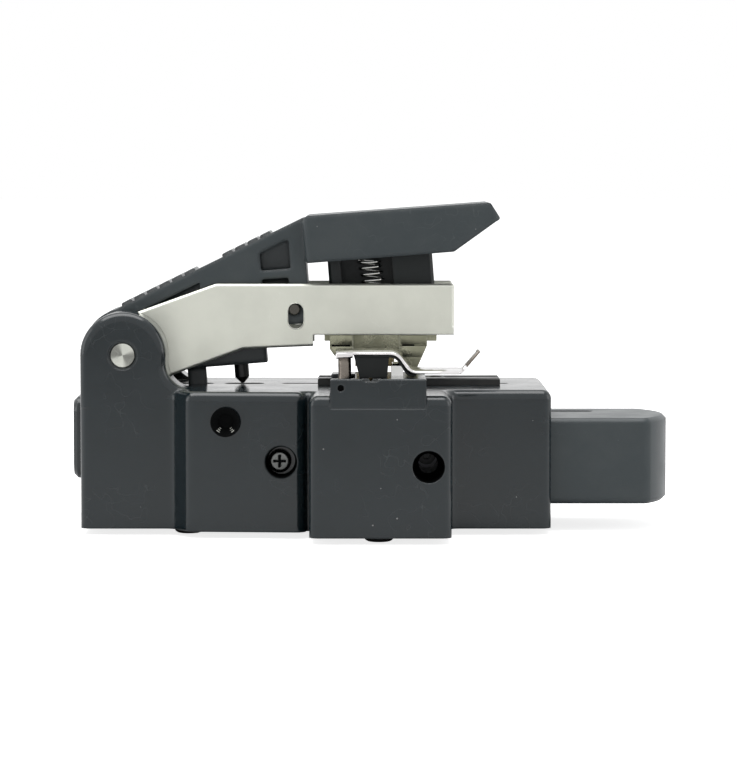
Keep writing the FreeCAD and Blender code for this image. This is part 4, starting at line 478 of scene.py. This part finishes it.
def finish_material(name, spec, centre=None):
    """Procedural finish: mottled colour, lighter edges (partly rubbed, partly a painted highlight), dust and
    hairlines, with grain in roughness and bump.

    With a centre given, lathe rings run round the Y axis through it, and its bow-tie sheen is painted in as
    two darker wedges.
    """
    material = bpy.data.materials.get(name + "_finish") or bpy.data.materials.new(name + "_finish")
    tree = empty_tree(material)
    place = add_node(tree, "TexCoord").outputs["Object"]
    grain = use_group(tree, "Fine Grain", {"Vector": place, "Fine": spec["fine"], "Coarse": MOTTLE_SCALE})
    edge = use_group(tree, "Soft Edge", {"Radius": spec["edge"] * MM})
    color = blend_colour(tree, grain.outputs["Tone"], opaque(spec["color"]), opaque(spec["tone"]))
    height = grain.outputs["Height"]
    if "lines" in spec:
        lines = use_group(tree, "Drawn Lines", {"Vector": place, "Stretch": spec["lines"],
                                                "Scale": LINES_SCALE})
        height = sum_of(tree, "ADD", height, lines.outputs["Height"])
        shade = ramp(tree, lines.outputs["Height"], 0.3, 0.7, 0.0, 0.5)
        color = blend_colour(tree, shade, color, opaque([c * 0.75 for c in spec["tone"]]))
    if centre is not None:
        moved = add_node(tree, "Mapping", {"Vector": place, "Location": [-c for c in centre]})
        rings = use_group(tree, "Turned Rings", {"Vector": moved.outputs[0], "Pitch": RING_PITCH})
        height = sum_of(tree, "ADD", height, rings.outputs["Height"])
        # painted reflection: the turned face's bow-tie sheen, as colour darkened in two wedges by angle
        painted_fan = sum_of(tree, "MULTIPLY", rings.outputs["Fan"], PAINTED_FAN_STRENGTH)
        color = blend_colour(tree, painted_fan, color, opaque([c * PAINTED_FAN_SHADE for c in spec["tone"]]))
    # lighter edges: partly rubbed, partly a painted highlight standing for light caught on the rounding
    patchy = ramp(tree, grain.outputs["Tone"], 0.1, 0.9, 0.45, 1.0)
    edge_light_gate = sum_of(tree, "MULTIPLY", edge.outputs["Edge"], patchy)
    color = blend_colour(tree, sum_of(tree, "MULTIPLY", edge_light_gate, spec["worn"]), color, opaque(spec["wear_and_edge_light"]))
    if "hair" in spec:
        hair = use_group(tree, "Hairlines", {"Vector": place, "Scale": HAIR_SCALE, "Width": HAIR_WIDTH})
        amount = sum_of(tree, "MULTIPLY", hair.outputs["Mask"], spec["hair"] * HAIR_STRENGTH)
        color = blend_colour(tree, amount, color, opaque(spec["wear_and_edge_light"]))
    if "dust" in spec:
        dust = use_group(tree, "Dust Specks", {"Vector": place, "Scale": DUST_SCALE, "Share": spec["dust"],
                                               "Size": DUST_SIZE})
        amount = sum_of(tree, "MULTIPLY", dust.outputs["Mask"], DUST_STRENGTH)
        color = blend_colour(tree, amount, color, DUST_TONE)
    half = spec["spread"] / 2
    rough = ramp(tree, grain.outputs["Tone"], 0.0, 1.0, spec["rough"] - half, spec["rough"] + half)
    bump = add_node(tree, "Bump", {"Height": height, "Normal": edge.outputs["Normal"],
                                   "Strength": min(1.0, spec["bump"] * 4), "Distance": GRAIN_DEPTH})
    shader = add_node(tree, "BsdfPrincipled", {"Base Color": color, "Roughness": rough,
                                               "Normal": bump.outputs[0],
                                               "Metallic": spec.get("metal", 0.0),
                                               "Specular IOR Level": spec.get("gloss", 0.5)})
    add_node(tree, "OutputMaterial", {"Surface": shader.outputs[0]})


def middle_of(node):
    low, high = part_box(node)
    return [(a + b) / 2 for a, b in zip(low, high)]


# ---- settings ----
def colour_of(slot, name, description):
    return bpy.props.FloatVectorProperty(name=name, description=description, size=3, subtype="COLOR", min=0,
                                         max=1, default=FINISHES[slot]["color"])


class CleaverFinishSettings(bpy.types.PropertyGroup):
    """Colours that a user would change."""
    body: colour_of("body", "Body", "Paint of housing and holder")
    charcoal: colour_of("charcoal", "Lever and slider", "Moulded lever and slider")
    arm: colour_of("arm", "Arm", "Blasted metal of the arm")
    clamp_metal: colour_of("clamp_metal", "Clamp bracket", "Cast metal under the arm")


def turns_of(name, description, default, least, most):
    return bpy.props.IntProperty(name=name, description=description, default=default, min=least, max=most)


class CleaverSpringSettings(bpy.types.PropertyGroup):
    """Sizes of the wound springs."""
    return_turns: turns_of("Return spring turns", "Turns of each return spring", 11, 4, 20)
    return_radius: bpy.props.FloatProperty(name="Return coil radius", description="To the middle of the wire",
                                           default=2.25 * MM, unit="LENGTH", precision=5)
    return_wire: bpy.props.FloatProperty(name="Return wire radius", description="Half the wire's thickness",
                                         default=0.25 * MM, unit="LENGTH", precision=5)
    return_lean: bpy.props.FloatProperty(name="Return spring lean", description="Tilt towards the hinge",
                                         default=radians(12.0), subtype="ANGLE")
    drive_turns: turns_of("Slider spring turns", "Turns of the slider's spring", 22, 6, 40)
    latch_turns: turns_of("Latch spring turns", "Turns of the latch's spring", 9, 4, 20)
    clamp_turns: turns_of("Clamp spring turns", "Turns of each clamp spring", 3, 3, 10)


class CleaverStageSettings(bpy.types.PropertyGroup):
    """Light and view."""
    surround: bpy.props.FloatProperty(name="Surround light", description="Light from all sides", default=0.5,
                                      min=0.0, max=2.0)
    softbox: bpy.props.FloatProperty(name="Softbox", description="Power of the lamp above", default=6.5,
                                     min=0.0, unit="POWER")
    lens: bpy.props.FloatProperty(name="Lens", description="Focal length on a 36 mm frame", default=150.5,
                                  min=20.0, max=400.0)
    distance: bpy.props.FloatProperty(name="Camera distance", description="From the middle of the footprint",
                                      default=0.6594, unit="LENGTH")
    height: bpy.props.FloatProperty(name="Camera height", description="Above the bench", default=0.0747,
                                    unit="LENGTH")
    pitch: bpy.props.FloatProperty(name="Camera pitch", description="Tilt below the horizon",
                                   default=radians(3.935), subtype="ANGLE")


# ---- pieces ----
class CLEAVER_OT_finishes(bpy.types.Operator):
    """Give every node of the frame its finish"""
    bl_idname = "cleaver.finishes"
    bl_label = "Finishes"

    def execute(self, context):
        for build in (soft_edge_group, grain_group, specks_group, scratch_group, rings_group, lines_group):
            build()
        chosen = context.scene.cleaver_finish
        record = frame["record"]
        slots = {part["node"]: part["material_slot"] for part in record["subparts"]}
        for slot in sorted(set(slots.values())):
            spec = dict(FINISHES[slot])
            if hasattr(chosen, slot):
                spec["color"] = tuple(getattr(chosen, slot))
            finish_material(slot, spec)
        finish_material("hinge_face", FINISHES["bright_steel"], middle_of("hinge_pin"))
        for name in sorted(set(FINISHES) - set(slots.values())):
            finish_material(name, FINISHES[name])
        own = {**OWN_FINISH, "hinge_pin": "hinge_face"}
        for node, thing in frame["nodes"].items():
            name = own.get(node, slots[node]) + "_finish"
            for place in thing.material_slots:
                place.material = bpy.data.materials[name]
        return {"FINISHED"}


SLIDER_WIRE, LATCH_WIRE, CLAMP_WIRE = 0.3 * MM, 0.22 * MM, 0.12 * MM   # half the wires' thickness


class CLEAVER_OT_return_springs(bpy.types.Operator):
    """Wind the two return springs between arm and lever"""
    bl_idname = "cleaver.return_springs"
    bl_label = "Return springs"

    def execute(self, context):
        sizes = context.scene.cleaver_springs
        low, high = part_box("return_springs")
        outer = sizes.return_radius + sizes.return_wire
        height = high[2] - low[2]
        lean = np.tan(sizes.return_lean)
        foot_x = high[0] - outer
        patches = []
        for y in (low[1] + outer, high[1] - outer):
            patches.append(coil((foot_x, y, low[2]), (0, 0, 1), height, sizes.return_radius,
                                sizes.return_wire, sizes.return_turns, shear=(-lean, 0, 0)))
        piece = build_piece("wound_return_springs", patches, "spring_steel_finish", "arm")
        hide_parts("return_springs")
        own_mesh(piece)
        return {"FINISHED"}


class CLEAVER_OT_slider_spring(bpy.types.Operator):
    """Wind the spring that drives the slider out"""
    bl_idname = "cleaver.slider_spring"
    bl_label = "Slider spring"

    def execute(self, context):
        low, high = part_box("slider_spring")
        outer = (high[2] - low[2]) / 2
        foot = (low[0], *middle_of("slider_spring")[1:])
        patch = coil(foot, (1, 0, 0), high[0] - low[0], outer - SLIDER_WIRE, SLIDER_WIRE,
                     context.scene.cleaver_springs.drive_turns)
        piece = build_piece("wound_slider_spring", [patch], "spring_steel_finish", "base")
        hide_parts("slider_spring")
        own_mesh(piece)
        return {"FINISHED"}


class CLEAVER_OT_latch_spring(bpy.types.Operator):
    """Wind the spring under the latch"""
    bl_idname = "cleaver.latch_spring"
    bl_label = "Latch spring"

    def execute(self, context):
        low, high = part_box("latch_spring")
        foot = (*middle_of("latch_spring")[:2], low[2])
        patch = coil(foot, (0, 0, 1), high[2] - low[2], (high[0] - low[0]) / 2 - LATCH_WIRE, LATCH_WIRE,
                     context.scene.cleaver_springs.latch_turns)
        piece = build_piece("wound_latch_spring", [patch], "spring_steel_finish", "base")
        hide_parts("latch_spring")
        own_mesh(piece)
        return {"FINISHED"}


class CLEAVER_OT_clamp_springs(bpy.types.Operator):
    """Wind the two springs round the clamp's guide posts"""
    bl_idname = "cleaver.clamp_springs"
    bl_label = "Clamp springs"

    def execute(self, context):
        low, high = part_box("clamp_springs")
        outer = (high[0] - low[0]) / 2
        x = middle_of("clamp_springs")[0]
        patches = [coil((x, y, low[2]), (0, 0, 1), high[2] - low[2], outer - CLAMP_WIRE, CLAMP_WIRE,
                        context.scene.cleaver_springs.clamp_turns, around=6, steps=16)
                   for y in (low[1] + outer, high[1] - outer)]
        piece = build_piece("wound_clamp_springs", patches, "spring_steel_finish", "arm")
        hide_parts("clamp_springs")
        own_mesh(piece)
        return {"FINISHED"}


FOOT_SPOTS = ((1.3, -22.3), (-37.2, -7.0))   # feet whose places the node's box doesn't give, in mm
FOOT_RADIUS, FOOT_PATCH = 2.9 * MM, 1.7 * MM   # of the flank, and of the flat that touches the bench
FOOT_DOME, FOOT_FLANK = 0.62, 0.95             # tops of dome and flank as shares of the height
FOOT_CROWN = 0.97                              # top edge as a share of the radius


class CLEAVER_OT_rubber_feet(bpy.types.Operator):
    """Turn the four rubber feet"""
    bl_idname = "cleaver.rubber_feet"
    bl_label = "Rubber feet"

    def execute(self, context):
        low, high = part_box("rubber_feet")
        height = high[2] - low[2]
        # flat contact patch, then a quarter ellipse up to a short straight flank and the top
        turn = np.linspace(0, 1, 14) * pi / 2
        profile = [(0, 0), *zip(FOOT_PATCH + (FOOT_RADIUS - FOOT_PATCH) * np.sin(turn),
                                height * FOOT_DOME * (1 - np.cos(turn))),
                   (FOOT_RADIUS, height * FOOT_FLANK), (FOOT_RADIUS * FOOT_CROWN, height), (0, height)]
        spots = [(x * MM, y * MM) for x, y in FOOT_SPOTS]
        spots += [(x, high[1] - FOOT_RADIUS) for x in (low[0] + FOOT_RADIUS, high[0] - FOOT_RADIUS)]
        patches = [lathe(profile, (x, y, low[2]), (0, 0, 1), 40) for x, y in spots]
        piece = build_piece("turned_rubber_feet", patches, "rubber_finish", "base")
        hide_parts("rubber_feet")
        return {"FINISHED"}


# the lid's bent lines as (x, z) and its sizes, in mm
LID_LEAF = ((-7.0, 37.55), (4.9, 37.55), (7.5, 33.78), (17.7, 33.78), (18.6, 34.83))
LID_TAB = ((17.85, 33.96), (19.5, 35.88), (21.1, 37.75))
LID_CAP = ((-7.15, 37.05), (-6.4, 37.15), (-5.2, 37.2), (-3.9, 37.25))
LID_LEG = ((-5.5, 36.9), (-5.5, 35.2), (-5.45, 33.4), (-5.6, 31.6), (-6.0, 30.9))
LID_BACKING = ((-3.2, 37.02), (4.65, 37.02), (7.0, 33.3), (8.6, 33.25))
LEAF_THICK, CAP_THICK, TAB_THICK, LEG_THICK, BACKING_THICK = 0.62, 1.15, 0.5, 2.5, 0.42
LEAF_BEND = 1.5
TAB_WIDTH = 5.6
NECK_START, NECK_LENGTH = 17.0, 1.2      # where the leaf narrows to the tab
LEG_MARGIN, BACKING_MARGIN = 0.9, 0.3    # narrower than the leaf by this much
BEAD_RADIUS, BEAD_HALF, BEAD_END = 0.36, 2.75, 2.7
BEAD_PLACE = (20.95, 37.62)
KNUCKLE_RADIUS, KNUCKLE_HALF, KNUCKLE_BEVEL = 1.3, 6.3, 0.1
KNUCKLE_PLACE = (-6.2, 30.9)


def upright(points):
    """Points given as (x, z) in mm, as an array in metres at depth nought."""
    flat = np.array(points, float)
    return np.stack([flat[:, 0], np.zeros(len(flat)), flat[:, 1]], axis=-1) * MM


def cross_pin(profile, place, middle, around):
    """Profile of (radius, reach) pairs in mm turned round a line along Y through a place (x, z) in mm."""
    x, z = place
    return lathe(np.array(profile) * MM, (x * MM, middle, z * MM), (0, 1, 0), around)


class CLEAVER_OT_lid(bpy.types.Operator):
    """Bend the lid's bright leaf with its thick rear end, leg, knuckle, backing and finger tab"""
    bl_idname = "cleaver.lid"
    bl_label = "Fibre lid"

    def execute(self, context):
        low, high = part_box("adapter_lid")
        middle, width = (low[1] + high[1]) / 2, high[1] - low[1]
        tab_width = TAB_WIDTH * MM
        line = curved_path(upright(LID_LEAF), LEAF_BEND * MM, 9)
        # the neck's width falls by the eased share 3 t^2 - 2 t^3
        share = np.clip((line[:, 0] - NECK_START * MM) / (NECK_LENGTH * MM), 0, 1)
        widths = width - (width - tab_width) * share * share * (3 - 2 * share)
        leaf = swept_strip(line, widths, LEAF_THICK * MM, middle)
        cap = swept_strip(upright(LID_CAP), width, CAP_THICK * MM, middle)
        piece = build_piece("bright_lid_leaf", [leaf, cap], "chrome_lid_finish", "lid")
        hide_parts("adapter_lid")
        tab = swept_strip(upright(LID_TAB), tab_width, TAB_THICK * MM, middle)
        # barrel: radius = full radius * root of 1 - half the sixth power of the reach
        reach = np.linspace(-1, 1, 9)
        barrel = zip(BEAD_RADIUS * np.sqrt(1 - 0.5 * reach ** 6), reach * BEAD_END)
        bead = cross_pin([(0, -BEAD_HALF), *barrel, (0, BEAD_HALF)], BEAD_PLACE, middle, 18)
        build_piece("lid_finger_tab", [tab, bead], "brown_steel_finish", "lid")
        leg = swept_strip(upright(LID_LEG), width - LEG_MARGIN * MM, LEG_THICK * MM, middle)
        shoulder, end = KNUCKLE_HALF - KNUCKLE_BEVEL, KNUCKLE_RADIUS - KNUCKLE_BEVEL
        knuckle = cross_pin([(0, -KNUCKLE_HALF), (end, -KNUCKLE_HALF), (KNUCKLE_RADIUS, -shoulder),
                             (KNUCKLE_RADIUS, shoulder), (end, KNUCKLE_HALF), (0, KNUCKLE_HALF)],
                            KNUCKLE_PLACE, middle, 28)
        build_piece("lid_leg", [leg, knuckle], "brown_steel_finish", "lid")
        under = curved_path(upright(LID_BACKING), LEAF_BEND * MM, 8)
        backing = swept_strip(under, width - BACKING_MARGIN * MM, BACKING_THICK * MM, middle, 5)
        build_piece("lid_backing", [backing], "pad_rubber_finish", "lid")
        return {"FINISHED"}


# inner wall under the lever's slope: outline as (x, z), its two faces and the rounding of its edges, in mm
INNER_WALL = ((-47.6, 44.9), (-40.8, 48.2), (-34.1, 51.3), (-34.0, 46.0), (-34.6, 42.5), (-40.0, 40.6),
              (-46.0, 39.5))
INNER_WALL_NEAR, INNER_WALL_FAR, INNER_WALL_EDGE = 3.2, 14.2, 0.4


class CLEAVER_OT_lever_rib(bpy.types.Operator):
    """Mould the inner wall under the lever's slope"""
    bl_idname = "cleaver.lever_rib"
    bl_label = "Lever's inner wall"

    def execute(self, context):
        slab = rounded_slab(np.array(INNER_WALL) * MM, INNER_WALL_NEAR * MM, INNER_WALL_FAR * MM,
                            INNER_WALL_EDGE * MM)
        build_piece("lever_inner_wall", [slab], "charcoal_finish", "lever")
        return {"FINISHED"}


# rim of the limit slot, in mm: half width, height, top above the pin, middle past the pin's, half its wire
RIM_RADIUS, RIM_HEIGHT, RIM_ABOVE, RIM_SHIFT, RIM_WIRE = 1.65, 5.32, 0.15, 0.29, 0.11


class CLEAVER_OT_slot_rims(bpy.types.Operator):
    """Burnish a bright rim round the limit slot in each arm plate"""
    bl_idname = "cleaver.slot_rims"
    bl_label = "Limit slot rims"

    def execute(self, context):
        low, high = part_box("arm_channel")
        pin_low, pin_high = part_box("limit_pin")
        radius, top = RIM_RADIUS * MM, pin_high[2] + RIM_ABOVE * MM
        x, bottom = (pin_low[0] + pin_high[0]) / 2 + RIM_SHIFT * MM, top - RIM_HEIGHT * MM
        # half circle over the top, straight down, half circle under the bottom and back up
        turn = np.linspace(0, pi, 17)
        arc = np.stack([np.cos(turn), np.sin(turn)], -1) * radius
        around = np.concatenate([arc + (x, top - radius), -arc + (x, bottom + radius)])
        around = np.concatenate([around, around[:1]])
        patches = []
        for y in (low[1], high[1]):
            path = np.stack([around[:, 0], np.full(len(around), y), around[:, 1]], axis=-1)
            side = np.tile((0.0, 1.0, 0.0), (len(path), 1))
            points, cells = round_section(path, side, np.full(len(path), RIM_WIRE * MM), 8)
            points[-1] = points[0]
            patches.append((points, cells))
        build_piece("limit_slot_rims", patches, "bright_steel_finish", "arm")
        return {"FINISHED"}


# arcs of bright thread crest set only where glints fall, as painted glints: middle and half spread in
# degrees, distance from the axis and thickness in mm
CREST_GLINT_ARCS = [(turn, 12.0, far, 0.15) for turn in (-52.0, -128.0) for far in (1.72, 2.07, 2.42)]
CREST_GLINT_ARCS.append((95.0, 48.0, 2.72, 0.06))
MOUTH_FLOOR, MOUTH_FLOOR_RADIUS, MOUTH_SLOPE = 0.2, 1.5, 1.371   # cone of the mouth, in front of the screw


class CLEAVER_OT_grub_crest_glints(bpy.types.Operator):
    """Bright steel arcs of thread crest in the grub screw's mouth, only where glints fall: painted glints"""
    bl_idname = "cleaver.grub_thread"
    bl_label = "Grub thread"

    def execute(self, context):
        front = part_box("grub_screw")[0][1]
        x, _, z = middle_of("grub_screw")
        patches = []
        step = np.linspace(-1, 1, 17)
        # painted glints: bright crest arcs only at the angles where highlights fall
        for turn, spread, far, thick in CREST_GLINT_ARCS:
            angle = radians(turn) + step * radians(spread)
            radial = np.stack([np.cos(angle), np.zeros_like(angle), np.sin(angle)], axis=-1)
            path = np.array([x, 0, z]) + far * MM * radial
            path[:, 1] = front - (MOUTH_FLOOR + MOUTH_SLOPE * (far - MOUTH_FLOOR_RADIUS)) * MM
            patches.append(round_section(path, radial, thick * MM * np.sqrt(1 - step ** 4), 8))
        build_piece("grub_thread", patches, "bright_steel_finish", "base")
        return {"FINISHED"}


# the flank's bores in mm: face of the bulge, the side hole's middle, and for each black cup of painted shade
# its radius at mouth and floor, its depth, and the radius left open in its floor
BULGE_FACE, SIDE_HOLE_X = -19.0, -18.2
STAGE_SHADE_CUP, SIDE_SHADE_CUP = (3.15, 3.15, 7.95, 1.95), (3.15, 3.15, 4.45, 2.72)
GRUB_SHADE_CUP = (2.98, 1.6, 2.0, 1.5)
SHADE_CUP_WALL, SHADE_CUP_START = 0.05, 0.12   # thickness, and where it begins behind the face
RECESS_LONG, RECESS_SHORT, RECESS_FRONT, RECESS_BACK, RECESS_EDGE = 1.2, 0.26, 0.25, 0.9, 0.03


class CLEAVER_OT_bore_shade_cups(bpy.types.Operator):
    """Paint shade into the flank's bores with thin black cups, and into the side screw's recess with a black
    cross
    """
    bl_idname = "cleaver.bore_linings"
    bl_label = "Bore linings"

    def execute(self, context):
        stage, screw, grub = middle_of("height_screw"), middle_of("side_screw"), middle_of("grub_screw")
        face, bulge = CAD_BOX[0][1], BULGE_FACE * MM
        patches = []
        # thin black cups inside the bores: painted shade of the deep holes
        for mouth, (wide, narrow, depth, bore) in (((stage[0], face, screw[2]), STAGE_SHADE_CUP),
                                                   ((SIDE_HOLE_X * MM, bulge, screw[2]), SIDE_SHADE_CUP),
                                                   ((grub[0], bulge, grub[2]), GRUB_SHADE_CUP)):
            profile = [(wide, SHADE_CUP_START), (narrow, depth), (bore, depth), (bore, depth - SHADE_CUP_WALL),
                       (narrow - SHADE_CUP_WALL, depth - SHADE_CUP_WALL), (wide - SHADE_CUP_WALL, SHADE_CUP_START), (wide, SHADE_CUP_START)]
            patches.append(lathe(np.array(profile) * MM, mouth, (0, 1, 0), 64))
        build_piece("bore_linings", patches, "blackened_finish", "base")
        # black cross at the floor of the side screw's recess: painted shade
        quarter = [(RECESS_LONG, RECESS_SHORT), (RECESS_SHORT, RECESS_SHORT), (RECESS_SHORT, RECESS_LONG)]
        cross = [(x * a, z * b) for a, b, way in ((1, 1, 1), (-1, 1, -1), (-1, -1, 1), (1, -1, -1))
                 for x, z in quarter[::way]]
        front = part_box("side_screw")[0][1]
        slab = rounded_slab(np.array(cross) * MM + (screw[0], screw[2]), front + RECESS_FRONT * MM,
                            front + RECESS_BACK * MM, RECESS_EDGE * MM)
        build_piece("side_screw_recess", [slab], "blackened_finish", "base")
        return {"FINISHED"}


# cast pads on the clamp bracket, and black strips of painted shadow under them: outlines as (x, z) in mm
BRACKET_PADS = [[(-8.55, 37.85), (-4.2, 37.85), (-4.2, 39.85), (-8.55, 39.85)],
                [(-7.7, 35.6), (-4.6, 35.6), (-4.2, 37.45), (-8.3, 37.45)],
                [(5.95, 37.95), (11.05, 37.95), (11.05, 39.85), (5.95, 39.85)],
                [(6.3, 35.4), (9.9, 35.4), (10.9, 37.55), (6.1, 37.55)]]
BRACKET_SHADOW_STRIPS = [[(-8.3, 37.5), (-4.5, 37.5), (-4.5, 37.82), (-8.3, 37.82)],
                  [(6.1, 37.6), (8.6, 37.6), (8.6, 37.92), (6.1, 37.92)]]
PAD_PROUD, SHADOW_STRIP_PROUD, RELIEF_ROOT, RELIEF_EDGE = 0.28, 0.04, 0.15, 0.03


class CLEAVER_OT_bracket_relief(bpy.types.Operator):
    """Raise the cast pads on the clamp bracket's near and far faces, with strips of painted shadow under them
    """
    bl_idname = "cleaver.bracket_relief"
    bl_label = "Bracket relief"

    def execute(self, context):
        low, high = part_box("clamp_bracket")
        # the pads are raised relief; the black strips under them are painted shadow
        for name, outlines, finish, proud in (
                ("bracket_pads", BRACKET_PADS, "clamp_metal_finish", PAD_PROUD),
                ("bracket_joints", BRACKET_SHADOW_STRIPS, "blackened_finish", SHADOW_STRIP_PROUD)):
            patches = []
            for outline in outlines:
                for face, way in ((low[1], -1), (high[1], 1)):
                    ends = sorted((face + way * proud * MM, face - way * RELIEF_ROOT * MM))
                    patches.append(rounded_slab(np.array(outline) * MM, *ends, RELIEF_EDGE * MM))
            build_piece(name, patches, finish, "arm")
        return {"FINISHED"}


# ---- stage ----
SIDE_POWER = 1.0                     # of each strip, in watts
CAMERA_X = -0.77 * MM
BENCH_TONE, BENCH_GLOW = 0.86, 0.8


class CLEAVER_OT_stage(bpy.types.Operator):
    """Set floor, surround, softbox and camera"""
    bl_idname = "cleaver.stage"
    bl_label = "Stage"

    def execute(self, context):
        sizes = context.scene.cleaver_stage
        context.scene.view_settings.view_transform = "Standard"
        self.set_floor()
        self.set_surround(context.scene, sizes.surround)
        self.set_softbox(context.scene, sizes.softbox)
        data = bpy.data.cameras.new("bench_camera")
        data.lens, data.sensor_width = sizes.lens, 36.0
        data.clip_start, data.clip_end = 0.01, 50.0
        camera = bpy.data.objects.new("bench_camera", data)
        camera.location = (CAMERA_X, -sizes.distance, sizes.height)
        camera.rotation_euler = (pi / 2 - sizes.pitch, 0, 0)
        context.scene.collection.objects.link(camera)
        context.scene.camera = camera
        return {"FINISHED"}

    def set_floor(self):
        """Pale bench: lit white, with the rest of the white given to what looks straight at it."""
        half = 6.0
        mesh = bpy.data.meshes.new("bench")
        corners = [(-half, -half, 0), (half, -half, 0), (half, half, 0), (-half, half, 0)]
        mesh.from_pydata(corners, [], [(0, 1, 2, 3)])
        material = bpy.data.materials.new("bench_white")
        tree = empty_tree(material)
        seen = add_node(tree, "LightPath")
        lit = add_node(tree, "BsdfPrincipled", {"Base Color": opaque([BENCH_TONE] * 3),
                                                "Roughness": 1.0, "Specular IOR Level": 0.0})
        strength = sum_of(tree, "MULTIPLY", seen.outputs["Is Camera Ray"], BENCH_GLOW)
        glow = add_node(tree, "Emission", {"Color": (1, 1, 1, 1), "Strength": strength})
        both = add_node(tree, "AddShader", {0: lit.outputs[0], 1: glow.outputs[0]})
        add_node(tree, "OutputMaterial", {"Surface": both.outputs[0]})
        mesh.materials.append(material)
        bench = bpy.data.objects.new("bench", mesh)
        bpy.context.scene.collection.objects.link(bench)

    def set_surround(self, scene, strength):
        """Even light from all round; white where looked at straight, in gloss and through clear material."""
        world = bpy.data.worlds.new("surround")
        scene.world = world
        tree = empty_tree(world)
        seen = add_node(tree, "LightPath")
        direct = sum_of(tree, "MAXIMUM", seen.outputs["Is Camera Ray"], seen.outputs["Is Transmission Ray"])
        direct = sum_of(tree, "MAXIMUM", direct, seen.outputs["Is Glossy Ray"])
        lamp = add_node(tree, "Background", {"Color": (1, 1, 1, 1), "Strength": strength})
        white = add_node(tree, "Background", {"Color": (1, 1, 1, 1), "Strength": 1.0})
        mix = add_node(tree, "MixShader", {0: direct, 1: lamp.outputs[0], 2: white.outputs[0]})
        add_node(tree, "OutputWorld", {"Surface": mix.outputs[0]})

    def set_softbox(self, scene, power):
        """Long box above, and a faint strip at each side that draws light along the upright rounds."""
        lamps = (("softbox", (1.0, 0.6), power, (-0.1, 0.02, 0.85), radians(-6)),
                 ("left_strip", (0.7, 0.4), SIDE_POWER, (-0.9, -0.05, 0.3), -pi / 2),
                 ("right_strip", (0.7, 0.4), SIDE_POWER, (0.9, -0.05, 0.3), pi / 2))
        for name, size, energy, place, turn in lamps:
            data = bpy.data.lights.new(name, "AREA")
            data.shape, data.size, data.size_y, data.energy = "RECTANGLE", *size, energy
            lamp = bpy.data.objects.new(name, data)
            lamp.location, lamp.rotation_euler = place, (0, turn, 0)
            scene.collection.objects.link(lamp)


OPERATORS = (CLEAVER_OT_finishes, CLEAVER_OT_return_springs, CLEAVER_OT_slider_spring,
             CLEAVER_OT_latch_spring, CLEAVER_OT_clamp_springs, CLEAVER_OT_rubber_feet, CLEAVER_OT_lid,
             CLEAVER_OT_lever_rib, CLEAVER_OT_slot_rims, CLEAVER_OT_grub_crest_glints, CLEAVER_OT_bore_shade_cups,
             CLEAVER_OT_bracket_relief, CLEAVER_OT_stage)


class CLEAVER_PT_panel(bpy.types.Panel):
    """Sizes, colours and pieces of the cleaver"""
    bl_idname = "CLEAVER_PT_panel"
    bl_label = "Fibre Cleaver"
    bl_space_type = "VIEW_3D"
    bl_region_type = "UI"
    bl_category = "Cleaver"

    def draw(self, context):
        scene = context.scene
        for title, group in (("Colours", scene.cleaver_finish), ("Springs", scene.cleaver_springs),
                             ("Stage", scene.cleaver_stage)):
            box = self.layout.box()
            box.label(text=title)
            for key in group.__annotations__:
                box.prop(group, key)
        for operator in OPERATORS:
            self.layout.operator(operator.bl_idname)


SETTINGS = (("cleaver_finish", CleaverFinishSettings), ("cleaver_springs", CleaverSpringSettings),
            ("cleaver_stage", CleaverStageSettings))


def register():
    for name, group in SETTINGS:
        bpy.utils.register_class(group)
        setattr(bpy.types.Scene, name, bpy.props.PointerProperty(type=group))
    for part in (*OPERATORS, CLEAVER_PT_panel):
        bpy.utils.register_class(part)


def unregister():
    for part in (CLEAVER_PT_panel, *reversed(OPERATORS)):
        bpy.utils.unregister_class(part)
    for name, group in reversed(SETTINGS):
        delattr(bpy.types.Scene, name)
        bpy.utils.unregister_class(group)


def main():
    register()
    for operator in OPERATORS:
        section, call = operator.bl_idname.split(".")
        getattr(getattr(bpy.ops, section), call)()


if __name__ == "__main__":
    main()
